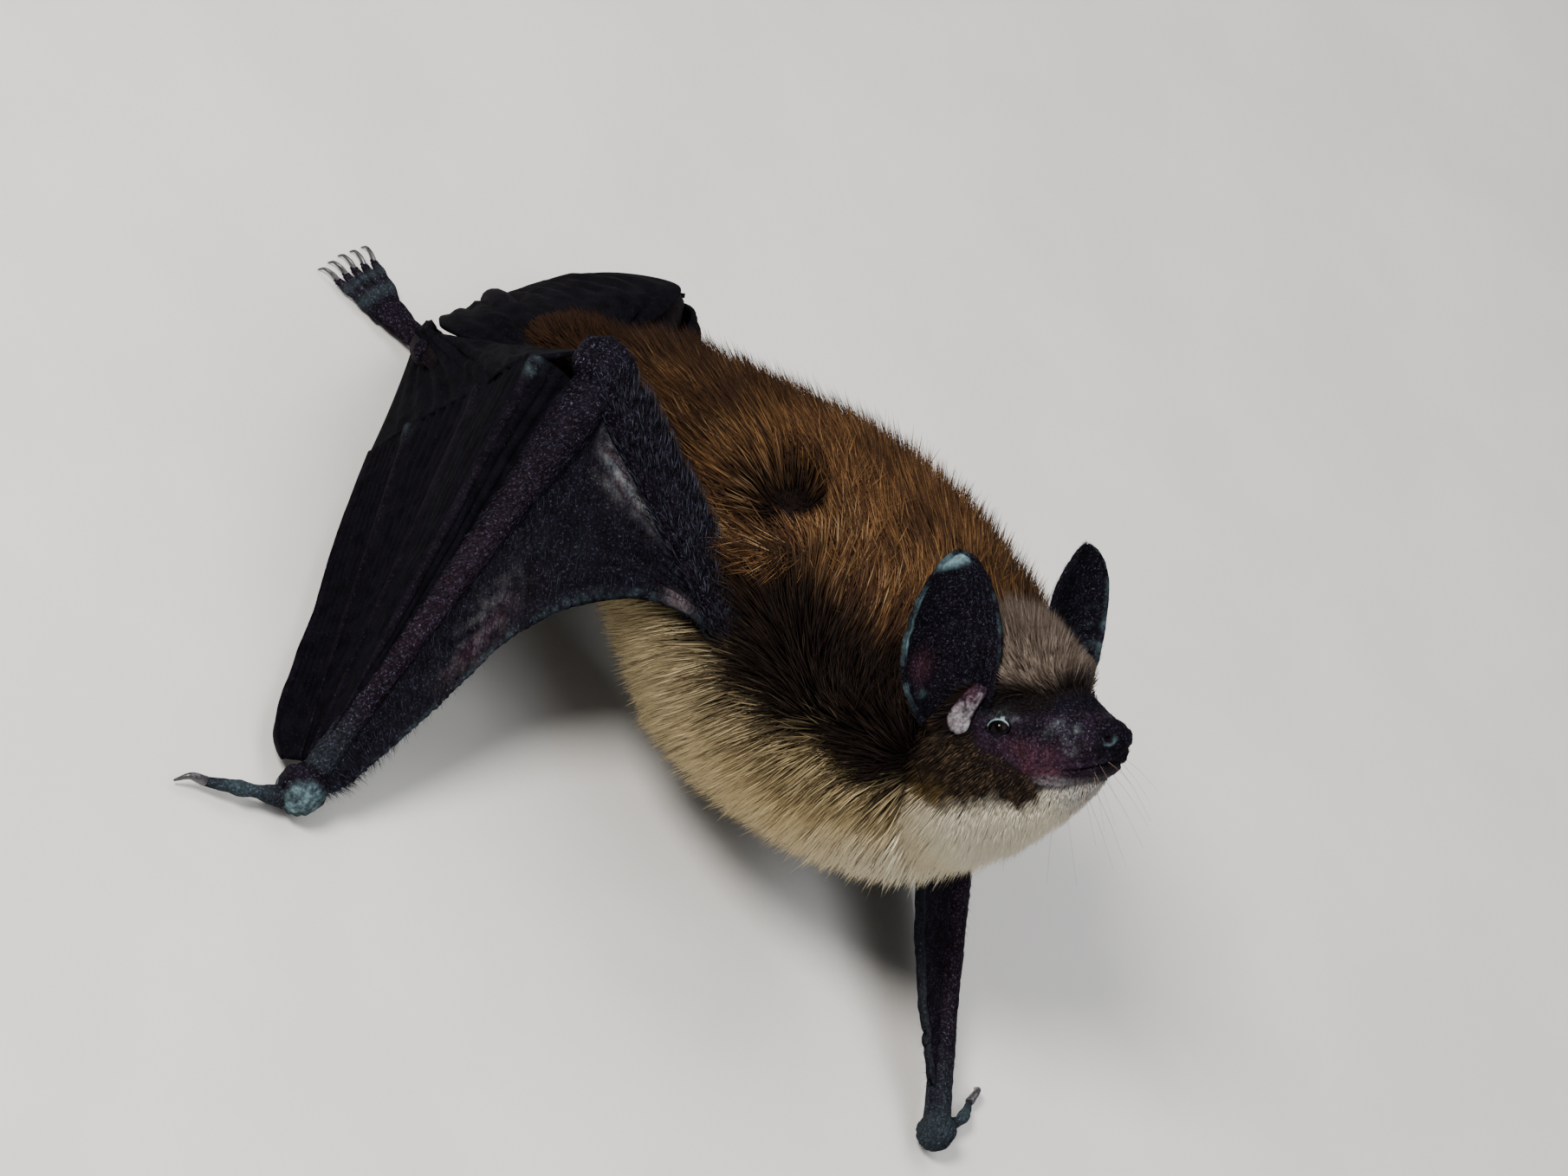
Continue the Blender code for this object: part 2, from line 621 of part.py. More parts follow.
def thigh(s, grow=0.0):
    return tube([legs[s][0], legs[s][1]], [(0, 2.3), (1, 1.35)], 10, 5, grow=grow)


def shin(s, grow=0.0):
    return tube([legs[s][1], legs[s][2]], [(0, 1.3), (1, 0.85)], 10, 5, grow=grow)


def tail(grow=0.0):
    return tube(TAIL, [(0, 1.3), (0.3, 0.9), (0.7, 0.7), (1, 0.5)], 8, 15, grow=grow)


limbs = []
for s in ("right", "left"):
    ankle, toes = legs[s][2], legs[s][3]
    foot_grown = grown_sheet(*foot_grid(ankle, toes))
    part("foot_" + s, feet[s], BARE, 0.5)
    part("thigh_" + s, thigh(s), BARE, 0.6, BODY)
    part("shin_" + s, shin(s), BARE, 0.5, [thigh(s, GAP), foot_grown] + BODY)
    limbs += [thigh(s, GAP), shin(s, GAP), foot_grown]
part("tail", tail(), BARE, 0.5, BODY)

for side, tag in (("right", "R"), ("left", "L")):
    shoulder, elbow, wrist, thumb, claw = ARMS[tag]
    big = 1.0 if tag == "R" else 0.72

    def upper(grow=0.0):
        return tube([shoulder, elbow], [(0, 2.5), (0.6, 2.0), (1, 1.7)], 10, 6, grow=grow)

    def fore(grow=0.0):
        return tube([elbow, wrist], [(0, 1.7), (0.3, 1.3), (0.8, 1.0), (1, 1.1)], 10, 7, grow=grow)

    def pad(grow=0.0):
        return knob(wrist, v(1.75, 1.75, 2.0) * big, 12, 7, grow)

    def digit(grow=0.0):
        return tube(thumb, [(0, 0.95), (0.6, 0.72), (1, 0.6)], 8, 6, grow=grow)

    part("wrist_" + side, floored(pad()), BARE, 0.5)
    part("thumb_" + side, floored(digit()), BARE, 0.5, [pad(GAP)])
    part("thumb_claw_" + side, floored(tube(claw, [(0, 0.5), (0.5, 0.38), (1, 0.15)], 8, 6)), HORN, 0.35, [digit(GAP)])
    part("upper_arm_" + side, upper(), BARE, 0.6, BODY)
    part("forearm_" + side, fore(), BARE, 0.5, [upper(GAP), pad(GAP), digit(GAP)] + BODY)
    arm = [upper(GAP), fore(GAP), pad(GAP), digit(GAP)]
    part("front_membrane_" + side, sheet(*pro_grid(tag, 11, 5)), MEMBRANE, 0.5, arm + BODY)
    hand = hand_grid(tag, 8, 17)
    part("hand_wing_" + side, sheet(*hand), MEMBRANE, 0.45, arm + BODY)
    wing = plagio_grid(tag, 7, 12)
    part("side_membrane_" + side, sheet(*wing), MEMBRANE, 0.45, arm + BODY + limbs + [grown_sheet(*hand), tail(GAP)])
    limbs.append(grown_sheet(*wing))
    if tag == "R":
        web = flank_grid()
        part("flank_membrane_right", sheet(*web), MEMBRANE, 0.45, arm + BODY + limbs + [grown_sheet(*pro_grid(tag, 11, 5))])
        limbs.append(grown_sheet(*web))

part("tail_membrane", sheet(*uro_grid(5, 9)), MEMBRANE, 0.45, BODY + limbs + [tail(GAP)])

# origin at the middle of the bottom of the whole animal
low, high = np.full(3, np.inf), np.full(3, -np.inf)
for ob in bat.objects:
    p = np.array([q.co for q in ob.data.vertices]).reshape(-1, 3)
    if not len(p):
        continue
    low, high = np.minimum(low, p.min(0)), np.maximum(high, p.max(0))
shift = np.array([-(low[0] + high[0]) / 2, -(low[1] + high[1]) / 2, -low[2]])
for ob in bat.objects:
    for q in ob.data.vertices:
        q.co = q.co + mathutils.Vector(shift)
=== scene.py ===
"""Bat at rest on its wrists and feet: skin, coat, eyes, claws and whiskers around the solid parts."""
import bpy
import bmesh
import mathutils
from mathutils.bvhtree import BVHTree
from mathutils.kdtree import KDTree
import math
import numpy as np
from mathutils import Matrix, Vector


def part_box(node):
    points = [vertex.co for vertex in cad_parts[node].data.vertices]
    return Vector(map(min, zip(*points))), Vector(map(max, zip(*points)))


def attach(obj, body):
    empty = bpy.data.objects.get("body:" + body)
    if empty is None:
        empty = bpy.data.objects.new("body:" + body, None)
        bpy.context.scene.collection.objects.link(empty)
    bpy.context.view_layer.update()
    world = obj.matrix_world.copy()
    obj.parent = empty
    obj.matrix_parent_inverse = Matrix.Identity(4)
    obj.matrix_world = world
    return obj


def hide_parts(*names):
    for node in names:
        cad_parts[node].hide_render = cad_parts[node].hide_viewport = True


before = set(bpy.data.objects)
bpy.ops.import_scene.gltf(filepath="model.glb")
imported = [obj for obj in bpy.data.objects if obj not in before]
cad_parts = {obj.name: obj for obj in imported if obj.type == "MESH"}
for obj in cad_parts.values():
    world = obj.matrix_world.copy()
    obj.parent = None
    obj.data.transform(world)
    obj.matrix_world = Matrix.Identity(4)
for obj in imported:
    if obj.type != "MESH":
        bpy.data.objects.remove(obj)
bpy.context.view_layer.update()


def v(*p):
    return np.array(p, float)


def unit(p):
    p = np.asarray(p, float)
    return p / np.linalg.norm(p, axis=-1, keepdims=True)


def ramp(x, a, b):
    t = np.clip((np.asarray(x, float) - a) / (b - a), 0.0, 1.0)
    return t * t * (3.0 - 2.0 * t)


def bell(x, c, w):
    return np.exp(-((np.asarray(x, float) - c) / w) ** 2)


def curve(keys, t):
    """Smooth curve through rows of keys; the first column is the station."""
    k = np.array(keys, float)
    x, y = k[:, 0], k[:, 1:]
    t = np.atleast_1d(np.asarray(t, float))
    h = np.diff(x)
    d = np.diff(y, axis=0) / h[:, None]
    m = np.vstack([d[:1], (d[:-1] * h[1:, None] + d[1:] * h[:-1, None]) / (h[1:] + h[:-1])[:, None], d[-1:]])
    i = np.clip(np.searchsorted(x, t, side="right") - 1, 0, len(x) - 2)
    g = h[i][:, None]
    s = (t - x[i])[:, None] / g
    return (y[i] * (1 + 2 * s) * (1 - s) ** 2 + m[i] * g * s * (1 - s) ** 2
            + y[i + 1] * s * s * (3 - 2 * s) + m[i + 1] * g * s * s * (s - 1))


def path(points, t):
    """Smooth path through points, t from 0 to 1 by chord length."""
    p = np.array(points, float)
    c = np.concatenate([[0.0], np.cumsum(np.linalg.norm(np.diff(p, axis=0), axis=1))])
    return curve(np.column_stack([c / c[-1], p]), t)


def frames(centres, up):
    """Side and up vectors across a row of centres."""
    tan = np.gradient(centres, axis=0)
    tan = unit(tan)
    up = np.broadcast_to(np.asarray(up, float), tan.shape)
    side = unit(np.cross(up, tan))
    return tan, side, np.cross(tan, side)


def rings(centres, side, up, half, top, bottom, n, power=2.0):
    """Superellipse rings: half width, height above and depth below the centre."""
    th = 2 * math.pi * (np.arange(n) + 0.5) / n
    c, s = np.cos(th), np.sin(th)
    e = 2.0 / np.broadcast_to(np.asarray(power, float), (len(centres),))[:, None]
    cx = np.sign(c) * np.abs(c) ** e
    sy = np.sign(s) * np.abs(s) ** e
    hy = np.where(s > 0, np.asarray(top, float)[:, None], np.asarray(bottom, float)[:, None])
    return (centres[:, None, :] + (cx * np.asarray(half, float)[:, None])[..., None] * side[:, None, :]
            + (sy * hy)[..., None] * up[:, None, :])


def skin(r, closed_ends=True):
    """Closed mesh over a stack of rings, first and last ring capped to a middle point."""
    m, n = r.shape[:2]
    verts = list(r.reshape(-1, 3))
    faces = []
    for i in range(m - 1):
        for j in range(n):
            k = (j + 1) % n
            faces.append((i * n + j, i * n + k, (i + 1) * n + k, (i + 1) * n + j))
    a, b = len(verts), len(verts) + 1
    verts.append(r[0].mean(axis=0))
    verts.append(r[-1].mean(axis=0))
    for j in range(n):
        k = (j + 1) % n
        faces.append((a, k, j))
        faces.append((b, (m - 1) * n + j, (m - 1) * n + k))
    return np.array(verts), faces


def sheet(grid, thick):
    """Closed thin solid about a grid of points, of the given thickness."""
    g = np.asarray(grid, float)
    m, n = g.shape[:2]
    nrm = unit(np.cross(np.gradient(g, axis=0), np.gradient(g, axis=1)))
    th = np.broadcast_to(np.asarray(thick, float), (m, n))[..., None] * 0.5
    verts = np.concatenate([(g + nrm * th).reshape(-1, 3), (g - nrm * th).reshape(-1, 3)])
    o = m * n
    faces = []
    for i in range(m - 1):
        for j in range(n - 1):
            a, b, c, d = i * n + j, i * n + j + 1, (i + 1) * n + j + 1, (i + 1) * n + j
            faces.append((a, d, c, b))
            faces.append((o + a, o + b, o + c, o + d))
    rim = ([(0, j) for j in range(n)] + [(i, n - 1) for i in range(1, m)]
           + [(m - 1, j) for j in range(n - 2, -1, -1)] + [(i, 0) for i in range(m - 2, 0, -1)])
    for q in range(len(rim)):
        a = rim[q][0] * n + rim[q][1]
        b = rim[(q + 1) % len(rim)][0] * n + rim[(q + 1) % len(rim)][1]
        faces.append((a, b, o + b, o + a))
    return verts, faces


def stretched(c, tan, grow):
    """Row of centres with its two ends carried outwards."""
    c = np.array(c)
    c[0] -= tan[0] * grow
    c[-1] += tan[-1] * grow
    return c


def tube(points, radius, n=10, rows=9, flat=1.0, up=(0, 0, 1), grow=0.0, t0=0.0, t1=1.0):
    """Round or flattened limb along a path; radius is rows of (station, radius)."""
    t = np.linspace(t0, t1, rows)
    c = path(points, t)
    tan, side, top = frames(c, up)
    c = stretched(c, tan, grow)
    r = curve(radius, t)[:, 0] + grow
    q = rings(c, side, top, r, r * flat, r * flat, n)
    # ends capped to a middle point
    return skin(q)


# ------------------------------------------------------------------ sizes, millimetres
GAP = 0.3
# right arm
SHOULDER_R = v(19.6, -9.6, 20.6)
ELBOW_R = v(1.7, -13.4, 25.4)
WRIST_R = v(14.5, -32.7, 2.3)
THUMB_R = [v(14.6, -33.2, 1.5), v(13.2, -36.2, 1.7), v(11.4, -38.7, 1.0)]
# right hand, folded: ends of the fifth, fourth and third metacarpals, and of the folded tips
KNUCKLE5_R, KNUCKLE4_R, KNUCKLE3_R = v(-1.1, -16.9, 24.2), v(-2.9, -13.4, 16.0), v(-4.6, -11.4, 7.6)
TIPS_R = [v(11.0, -31.9, 1.6), v(7.1, -27.5, 1.7), v(3.7, -22.8, 2.1), v(0.0, -18.2, 2.5), v(-5.3, -10.3, 2.4)]
# free edge of the right front membrane, shoulder to wrist
PRO_R = [v(19.2, -10.6, 20.0), v(16.6, -12.1, 19.7), v(14.6, -14.1, 18.9), v(13.3, -16.7, 17.2),
         v(12.8, -20.4, 14.1), v(14.3, -25.5, 8.8), v(15.9, -31.2, 3.2)]
# left arm
SHOULDER_L = v(21.0, 9.5, 18.5)
ELBOW_L = v(26.9, 23.7, 9.4)
WRIST_L = v(52.4, 3.9, 2.0)
THUMB_L = [v(52.2, 4.6, 1.6), v(52.4, 7.6, 1.5), v(51.6, 10.2, 0.8)]
KNUCKLE5_L, KNUCKLE4_L, KNUCKLE3_L = v(25.0, 25.7, 8.0), v(24.0, 26.7, 5.5), v(23.8, 26.9, 3.2)
TIPS_L = [v(50.4, 6.4, 1.5), v(40.0, 16.0, 1.5), v(24.8, 25.2, 1.5)]
PRO_L = [v(24.5, 11.5, 17.0), v(30.0, 12.5, 13.4), v(37.2, 8.8, 8.4), v(44.0, 6.4, 5.2), v(51.2, 4.2, 2.7)]
# hind legs
HIP_R, KNEE_R, ANKLE_R, TOES_R = v(-1.5, -3.5, 12.5), v(-8.8, -8.0, 9.2), v(-11.8, 1.5, 2.4), v(-20.6, 0.2, 0.7)
HIP_L, KNEE_L, ANKLE_L, TOES_L = v(-1.5, 3.0, 12.5), v(-6.4, 15.0, 11.6), v(-12.6, 15.6, 2.4), v(-9.6, 24.0, 0.7)
# tail, curled under
TAIL = [v(-7.0, -0.6, 11.2), v(-10.6, 1.8, 9.0), v(-12.2, 5.2, 5.4), v(-10.6, 8.2, 1.9), v(-5.6, 8.6, 1.0), v(1.0, 7.2, 0.9)]

# trunk stations: s, centre x y z, half width, half height; out to the tips of the coat
TRUNK = [
    (0.00, -7.0, -0.9, 12.0, 1.6, 1.5),
    (0.06, -5.4, -0.9, 12.3, 3.6, 3.4),
    (0.22, -0.4, -0.9, 13.4, 6.2, 6.2),
    (0.32, 3.4, -0.7, 14.9, 8.3, 8.1),
    (0.42, 7.6, -0.4, 16.4, 9.9, 9.4),
    (0.60, 16.2, -0.4, 18.7, 12.6, 12.3),
    (0.78, 24.0, 0.1, 20.0, 12.8, 12.9),
    (0.90, 29.4, 0.0, 22.6, 11.4, 11.8),
    (1.00, 33.2, -0.9, 25.8, 9.0, 9.8),
]
# head: origin at the nose tip, x forward, y left, z to the crown
NOSE = v(38.65, -2.34, 37.37)
HEAD_X = unit(v(0.474, -0.097, 0.874))
HEAD_Y = unit(v(0.204, 0.979, -0.002) - HEAD_X * (v(0.204, 0.979, -0.002) @ HEAD_X))
HEAD_Z = np.cross(HEAD_X, HEAD_Y)
# head stations: x, half width, top, bottom
HEAD = [
    (-16.5, 6.4, 5.6, -8.6),
    (-14.0, 6.8, 7.0, -9.0),
    (-11.5, 6.2, 8.0, -8.5),
    (-9.5, 5.1, 8.1, -7.6),
    (-7.6, 3.8, 7.3, -6.75),
    (-5.8, 3.15, 5.7, -5.8),
    (-4.2, 2.8, 3.6, -4.7),
    (-2.9, 2.42, 1.85, -3.5),
    (-1.9, 1.95, 1.1, -2.6),
    (-1.1, 1.35, 0.75, -1.75),
    (-0.45, 0.65, 0.32, -0.9),
]


def head_point(p):
    p = np.asarray(p, float)
    return NOSE + p[..., :1] * HEAD_X + p[..., 1:2] * HEAD_Y + p[..., 2:3] * HEAD_Z


def trunk_rings(n=28, rows=20, grow=0.0, s0=0.0, s1=1.0):
    s = np.linspace(s0, s1, rows)
    k = curve(TRUNK, s)
    c = k[:, :3]
    full = curve(TRUNK, np.linspace(0, 1, 101))[:, :3]
    tan = np.gradient(full, axis=0)
    tan = unit(np.column_stack([np.interp(s, np.linspace(0, 1, 101), tan[:, q]) for q in range(3)]))
    side = unit(np.cross(v(0, 0, 1), tan))
    up = np.cross(tan, side)
    c = stretched(c, tan, grow)
    return rings(c, side, up, k[:, 3] + grow, k[:, 4] + grow, k[:, 4] + grow, n, 2.1)


def head_rings(n=28, rows=22, grow=0.0):
    x = np.linspace(HEAD[0][0], HEAD[-1][0], rows)
    k = curve(HEAD, x)
    mid = 0.5 * (k[:, 1] + k[:, 2])
    c = stretched(np.column_stack([x, 0 * x, mid]), np.tile(v(1, 0, 0), (rows, 1)), grow)
    hh = 0.5 * (k[:, 1] - k[:, 2])
    one = np.ones((rows, 1))
    r = rings(c, one * v(0, 1, 0), one * v(0, 0, 1), k[:, 0] + grow, hh + grow, hh + grow, n, 2.15)
    return head_point(r)
# ears in head space: base centre, tip, opening direction
EAR_BASE = v(-10.6, -4.6, 1.2)
EAR_TIP = v(-8.3, -6.4, 11.9)
EAR_OPEN = v(0.80, -0.60, 0.0)
# outline: height along the ear, rear margin, front margin (across)
EAR = [
    (0.00, -2.2, 1.5),
    (0.15, -3.2, 2.05),
    (0.35, -3.7, 2.6),
    (0.55, -3.3, 2.75),
    (0.75, -2.45, 2.3),
    (0.90, -1.35, 1.5),
    (0.98, -0.4, 0.75),
]
# the left ear is seen from in front, more open above and curled in below
EAR_L = [
    (0.00, -1.5, 1.6),
    (0.15, -2.0, 2.3),
    (0.35, -3.0, 3.0),
    (0.55, -3.35, 3.4),
    (0.75, -3.0, 3.1),
    (0.90, -2.15, 1.8),
    (0.98, -1.2, 0.5),
]


EAR_OPEN_L = v(0.990, 0.14, 0.0)


def ear_frame(flip=1.0):
    m = v(1, flip, 1)
    b, t, o = EAR_BASE * m, EAR_TIP * m, EAR_OPEN if flip > 0 else EAR_OPEN_L
    a = unit(t - b)
    o = unit(o - a * (o @ a))
    w = np.cross(a, o) * flip       # towards the front margin
    return b, t, a, o, w


def ear_grid(rows=13, cols=11, flip=1.0, e0=0.0, at=None):
    b, t, a, o, w = ear_frame(flip)
    L = np.linalg.norm(t - b)
    s = np.linspace(e0, 0.98, rows) if at is None else at
    k = curve(EAR if flip > 0 else EAR_L, s)
    foot = curve(EAR if flip > 0 else EAR_L, np.array([0.90]))[0]
    g = np.zeros((rows, cols, 3))
    for i in range(rows):
        half = 0.5 * (k[i, 1] - k[i, 0])
        if at is not None and s[i] > 0.90:              # round tip
            half = 0.5 * (foot[1] - foot[0]) * math.sqrt(max(1 - (0.5 + 0.5 * (s[i] - 0.90) / 0.085) ** 2, 0.004)) / 0.866
        mid = 0.5 * (k[i, 1] + k[i, 0])
        open_a = 1.75 - 1.15 * ramp(s[i], 0.0, 0.75)    # arc half angle of the cup
        q = np.linspace(-1, 1, cols) * open_a
        R = half / math.sin(min(open_a, math.pi / 2))
        across = mid + R * np.sin(q)
        out = R * (1 - np.cos(q))
        g[i] = b + a * L * s[i] + across[:, None] * w + out[:, None] * o - o * 1.2 * ramp(s[i], 1.0, 0.0)
    return head_point(g)


def fan(root, across, ends, spans, rows, cols, start=0.03):
    """Sheet of lines that spread from a wrist; ends and spans say where each digit runs."""
    j = np.linspace(0, 1, cols)
    r = np.linspace(start, 1, rows)
    lines = []
    for e, sp in zip(ends, spans):
        o = root + across * (0.5 - sp)
        pts = [o] + list(e) if isinstance(e, list) else [o, 0.5 * (o + e), e]
        lines.append(path(pts, r))
    lines = np.array(lines)                       # digit, row, xyz
    out = np.zeros((rows, cols, 3))
    for i in range(rows):
        out[i] = curve([[sp, *lines[k, i]] for k, sp in enumerate(spans)], j)
    return out, r, j


def ridges(j, spans, width):
    return sum(bell(j, sp, width) for sp in spans)


FAN_SPANS = [0.0, 0.14, 0.42, 0.72, 1.0]


def hand_grid(side, rows=15, cols=29):
    if side == "R":
        root, across = WRIST_R + v(-0.9, 0.6, 0.3), v(1.0, 0.3, 2.2)
        ends = [ELBOW_R + v(-0.5, -1.2, -1.6), KNUCKLE5_R, KNUCKLE4_R, KNUCKLE3_R, TIPS_R]
    else:
        root, across = WRIST_L + v(-1.0, 1.0, 0.2), v(0.2, -1.2, 1.4)
        ends = [ELBOW_L + v(0.4, 1.4, -0.9), KNUCKLE5_L, KNUCKLE4_L, KNUCKLE3_L, TIPS_L]
    g, r, j = fan(root, across, ends, FAN_SPANS, rows, cols, 0.04)
    th = 0.55 + (1.0 - 0.35 * r[:, None]) * (0.75 * ridges(j, FAN_SPANS[1:4], 0.045) + 0.6 * bell(j, 1.0, 0.06))[None, :]
    return g, th


def between(line_a, line_b, rows, cols, sag=(0, 0, 0), power=1.0):
    """Sheet between two edges, hung in the middle by sag."""
    t = np.linspace(0, 1, rows)
    j = np.linspace(0, 1, cols)
    a, b = path(line_a, t), path(line_b, t)
    g = a[:, None, :] * (1 - j)[None, :, None] + b[:, None, :] * j[None, :, None]
    w = (4 * j * (1 - j))[None, :, None] ** power
    return g + w * np.asarray(sag, float)


def plagio_grid(side, rows=13, cols=21):
    if side == "R":
        front = [ELBOW_R + v(-1.9, 0.3, -0.6), KNUCKLE5_R + v(-0.3, 0.2, -1.0), KNUCKLE4_R, KNUCKLE3_R, TIPS_R[-1]]
        back = [v(-3.6, -4.6, 16.2), v(-6.6, -7.2, 13.4), KNEE_R + v(-0.3, -0.6, 1.9), KNEE_R * 0.5 + ANKLE_R * 0.5 + v(-1.2, -0.6, 1.6), ANKLE_R + v(-0.6, -1.6, 0.6)]
        g = between(front, back, cols, rows, (0.1, 0.1, 0.1)).transpose(1, 0, 2)
    else:
        inner = [v(20.0, 12.3, 16.5), v(9.0, 10.6, 14.0), v(0.0, 6.6, 12.6), KNEE_L + v(1.2, 0.6, 0.6), ANKLE_L + v(1.2, 1.4, 0.8)]
        outer = [ELBOW_L + v(-1.0, 0.0, -1.6), v(23.0, 25.4, 3.2), v(10.0, 24.0, 2.6), v(-2.0, 20.0, 2.8), ANKLE_L + v(1.0, 3.0, 0.3)]
        g = between(inner, outer, cols, rows, (0.0, 0.0, 0.5))
    return g, 0.6


def pro_grid(side, rows=19, cols=8):
    if side == "R":
        inner, outer = [SHOULDER_R, ELBOW_R, WRIST_R], PRO_R
    else:
        inner, outer = [SHOULDER_L, ELBOW_L, WRIST_L], PRO_L
    t = np.linspace(0.03, 0.97, rows)
    j = np.linspace(0, 1, cols)
    a, b = path(inner, t), path(outer, t)
    # keep the bend of the elbow sharp
    L1, L2 = np.linalg.norm(inner[1] - inner[0]), np.linalg.norm(inner[2] - inner[1])
    q = L1 / (L1 + L2)
    a = np.where(t[:, None] < q, inner[0] + (inner[1] - inner[0]) * (t / q)[:, None], inner[1] + (inner[2] - inner[1]) * ((t - q) / (1 - q))[:, None])
    g = a[:, None, :] * (1 - j)[None, :, None] + b[:, None, :] * j[None, :, None]
    th = 0.55 + 0.25 * bell(j, 1.0, 0.08)[None, :] + 0 * t[:, None]
    return g, th


def uro_grid(rows=9, cols=17):
    """Tail membrane, from shin to shin over the tail."""
    right = [v(-3.6, -5.4, 14.6), KNEE_R + v(-0.5, 1.0, 1.7), KNEE_R * 0.5 + ANKLE_R * 0.5 + v(-1.2, 0.8, 1.4), ANKLE_R + v(-0.6, 0.4, 1.2)]
    left = [v(-3.6, 4.6, 14.6), KNEE_L + v(-0.4, -0.8, 1.6), KNEE_L * 0.5 + ANKLE_L * 0.5 + v(-1.4, -0.6, 1.2), ANKLE_L + v(-0.6, -0.8, 1.2)]
    return between(right, left, rows, cols, (-0.2, 0.0, 0.2)), 0.6


def knob(centre, size, n=16, rows=9, grow=0.0):
    """Rounded pad, three half sizes."""
    ph = np.linspace(0, math.pi, rows + 2)[1:-1]
    th = 2 * math.pi * np.arange(n) / n
    sx, sy, sz = np.asarray(size, float) + grow
    r = np.stack([np.outer(np.sin(ph), np.cos(th)) * sx, np.outer(np.sin(ph), np.sin(th)) * sy,
                  np.outer(-np.cos(ph), np.ones(n)) * sz], -1) + np.asarray(centre, float)
    vv, ff = skin(r)
    vv[-2] = np.asarray(centre, float) - v(0, 0, sz)
    vv[-1] = np.asarray(centre, float) + v(0, 0, sz)
    return vv, ff


def foot_grid(ankle, toes, spread=3.4, rows=10, cols=21):
    """Foot as a fan of five toes; returns grid and thickness."""
    d = toes - ankle
    L = np.linalg.norm(d[:2])
    d = unit(v(d[0], d[1], 0))
    w = v(-d[1], d[0], 0)
    r = np.linspace(0, 1, rows)
    j = np.linspace(-1, 1, cols)
    toe = 0.5 + 0.5 * np.cos(j * 5 * math.pi)
    reach = 0.80 + 0.20 * toe
    g = np.zeros((rows, cols, 3))
    half = 0.75 + (spread - 0.75) * r ** 1.3
    for i in range(rows):
        h = 0.62 + 1.1 * (1 - ramp(r[i], 0, 0.6))
        g[i] = ankle * v(1, 1, 0) + d * (L * r[i] * (1 - (1 - reach) * ramp(r[i], 0.5, 1.0)))[:, None] + w * (j * half[i])[:, None] + v(0, 0, h)
    th = 0.6 + 0.75 * (1 - ramp(r, 0.0, 0.7))[:, None] + 0.6 * (toe ** 2)[None, :] * ramp(r, 0.25, 0.55)[:, None] * (1 - 0.45 * ramp(r, 0.8, 1.0))[:, None]
    return g, th


def floor_flat(vv):
    vv = np.array(vv)
    vv[:, 2] = np.maximum(vv[:, 2], 0.0)
    return vv


ARMS = {
    "R": (SHOULDER_R, ELBOW_R, WRIST_R, THUMB_R, [v(11.5, -38.6, 1.1), v(10.9, -39.6, 1.2), v(10.6, -40.3, 0.45)]),
    "L": (SHOULDER_L, ELBOW_L, WRIST_L, THUMB_L, [v(51.6, 10.1, 0.9), v(51.2, 11.2, 1.1), v(50.9, 11.9, 0.45)]),
}
EYE_AT = v(-7.45, -3.15, 0.6)
EYE_R = 0.85


TRAGUS = [v(-10.7, -5.6, 0.6), v(-10.0, -5.3, 1.9), v(-9.0, -4.7, 3.3)]


def tragus_grid(flip=1.0, rows=6, cols=5):
    """Short blunt blade folded across the mouth of the ear."""
    m = v(1, flip, 1)
    s = np.linspace(0, 1, rows)
    c = path(TRAGUS, s)
    out = unit(v(0.67, -0.74, 0.0))
    across = unit(np.cross(out, unit(TRAGUS[2] - TRAGUS[0])))
    half = 0.25 + 0.75 * np.sqrt(np.clip(1 - (2.2 * s - 0.7) ** 2 / 2.3, 0, 1))
    j = np.linspace(-1, 1, cols)
    g = c[:, None, :] + across * (j[None, :] * half[:, None])[..., None]
    return head_point(g * m)


def floored(shape):
    return floor_flat(shape[0]), shape[1]


def floor_shape(ankle, toes, rows=6, cols=21):
    g, th = foot_grid(ankle, toes, rows=rows, cols=cols)
    return floored(sheet(g, th))


def flank_grid(rows=9, cols=5):
    """Web behind the right upper arm, from the arm to the flank."""
    arm = [SHOULDER_R + v(-1.5, -1.0, -1.0), ELBOW_R + v(0.2, 0.9, -1.6), v(-2.6, -5.6, 15.4)]
    flank = [v(16.0, -10.0, 14.0), v(7.0, -7.6, 13.4), v(-1.4, -4.2, 13.0)]
    return between(arm, flank, rows, cols, (0.0, -0.6, -0.4)), 0.6


# ------------------------------------------------------------------ helpers
MM = 0.001


def row_shift():
    """From the drawing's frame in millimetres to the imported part's frame."""
    low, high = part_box("trunk")
    vv = skin(trunk_rings(24, 14, 0.0, 0.0, 0.875))[0]
    mid = 0.5 * (np.array(low) + np.array(high)) / MM
    return mid - 0.5 * (vv.min(0) + vv.max(0))


SHIFT = row_shift()


def to_row(p):
    return (np.asarray(p, float) + SHIFT) * MM


def lattice(i, seed):
    i = i.astype(np.int64)
    n = i[..., 0] * 73856093 ^ i[..., 1] * 19349663 ^ i[..., 2] * 83492791 ^ (seed * 7919 + 13)
    n = (n ^ (n >> 13)) & 0x7fffffff
    n = (n * 1103515245 + 12345) & 0x7fffffff
    n = (n ^ (n >> 15)) & 0x7fffffff
    n = (n * 69069 + 1) & 0x7fffffff
    return (n >> 7 & 0xffff) / 32767.5 - 1.0


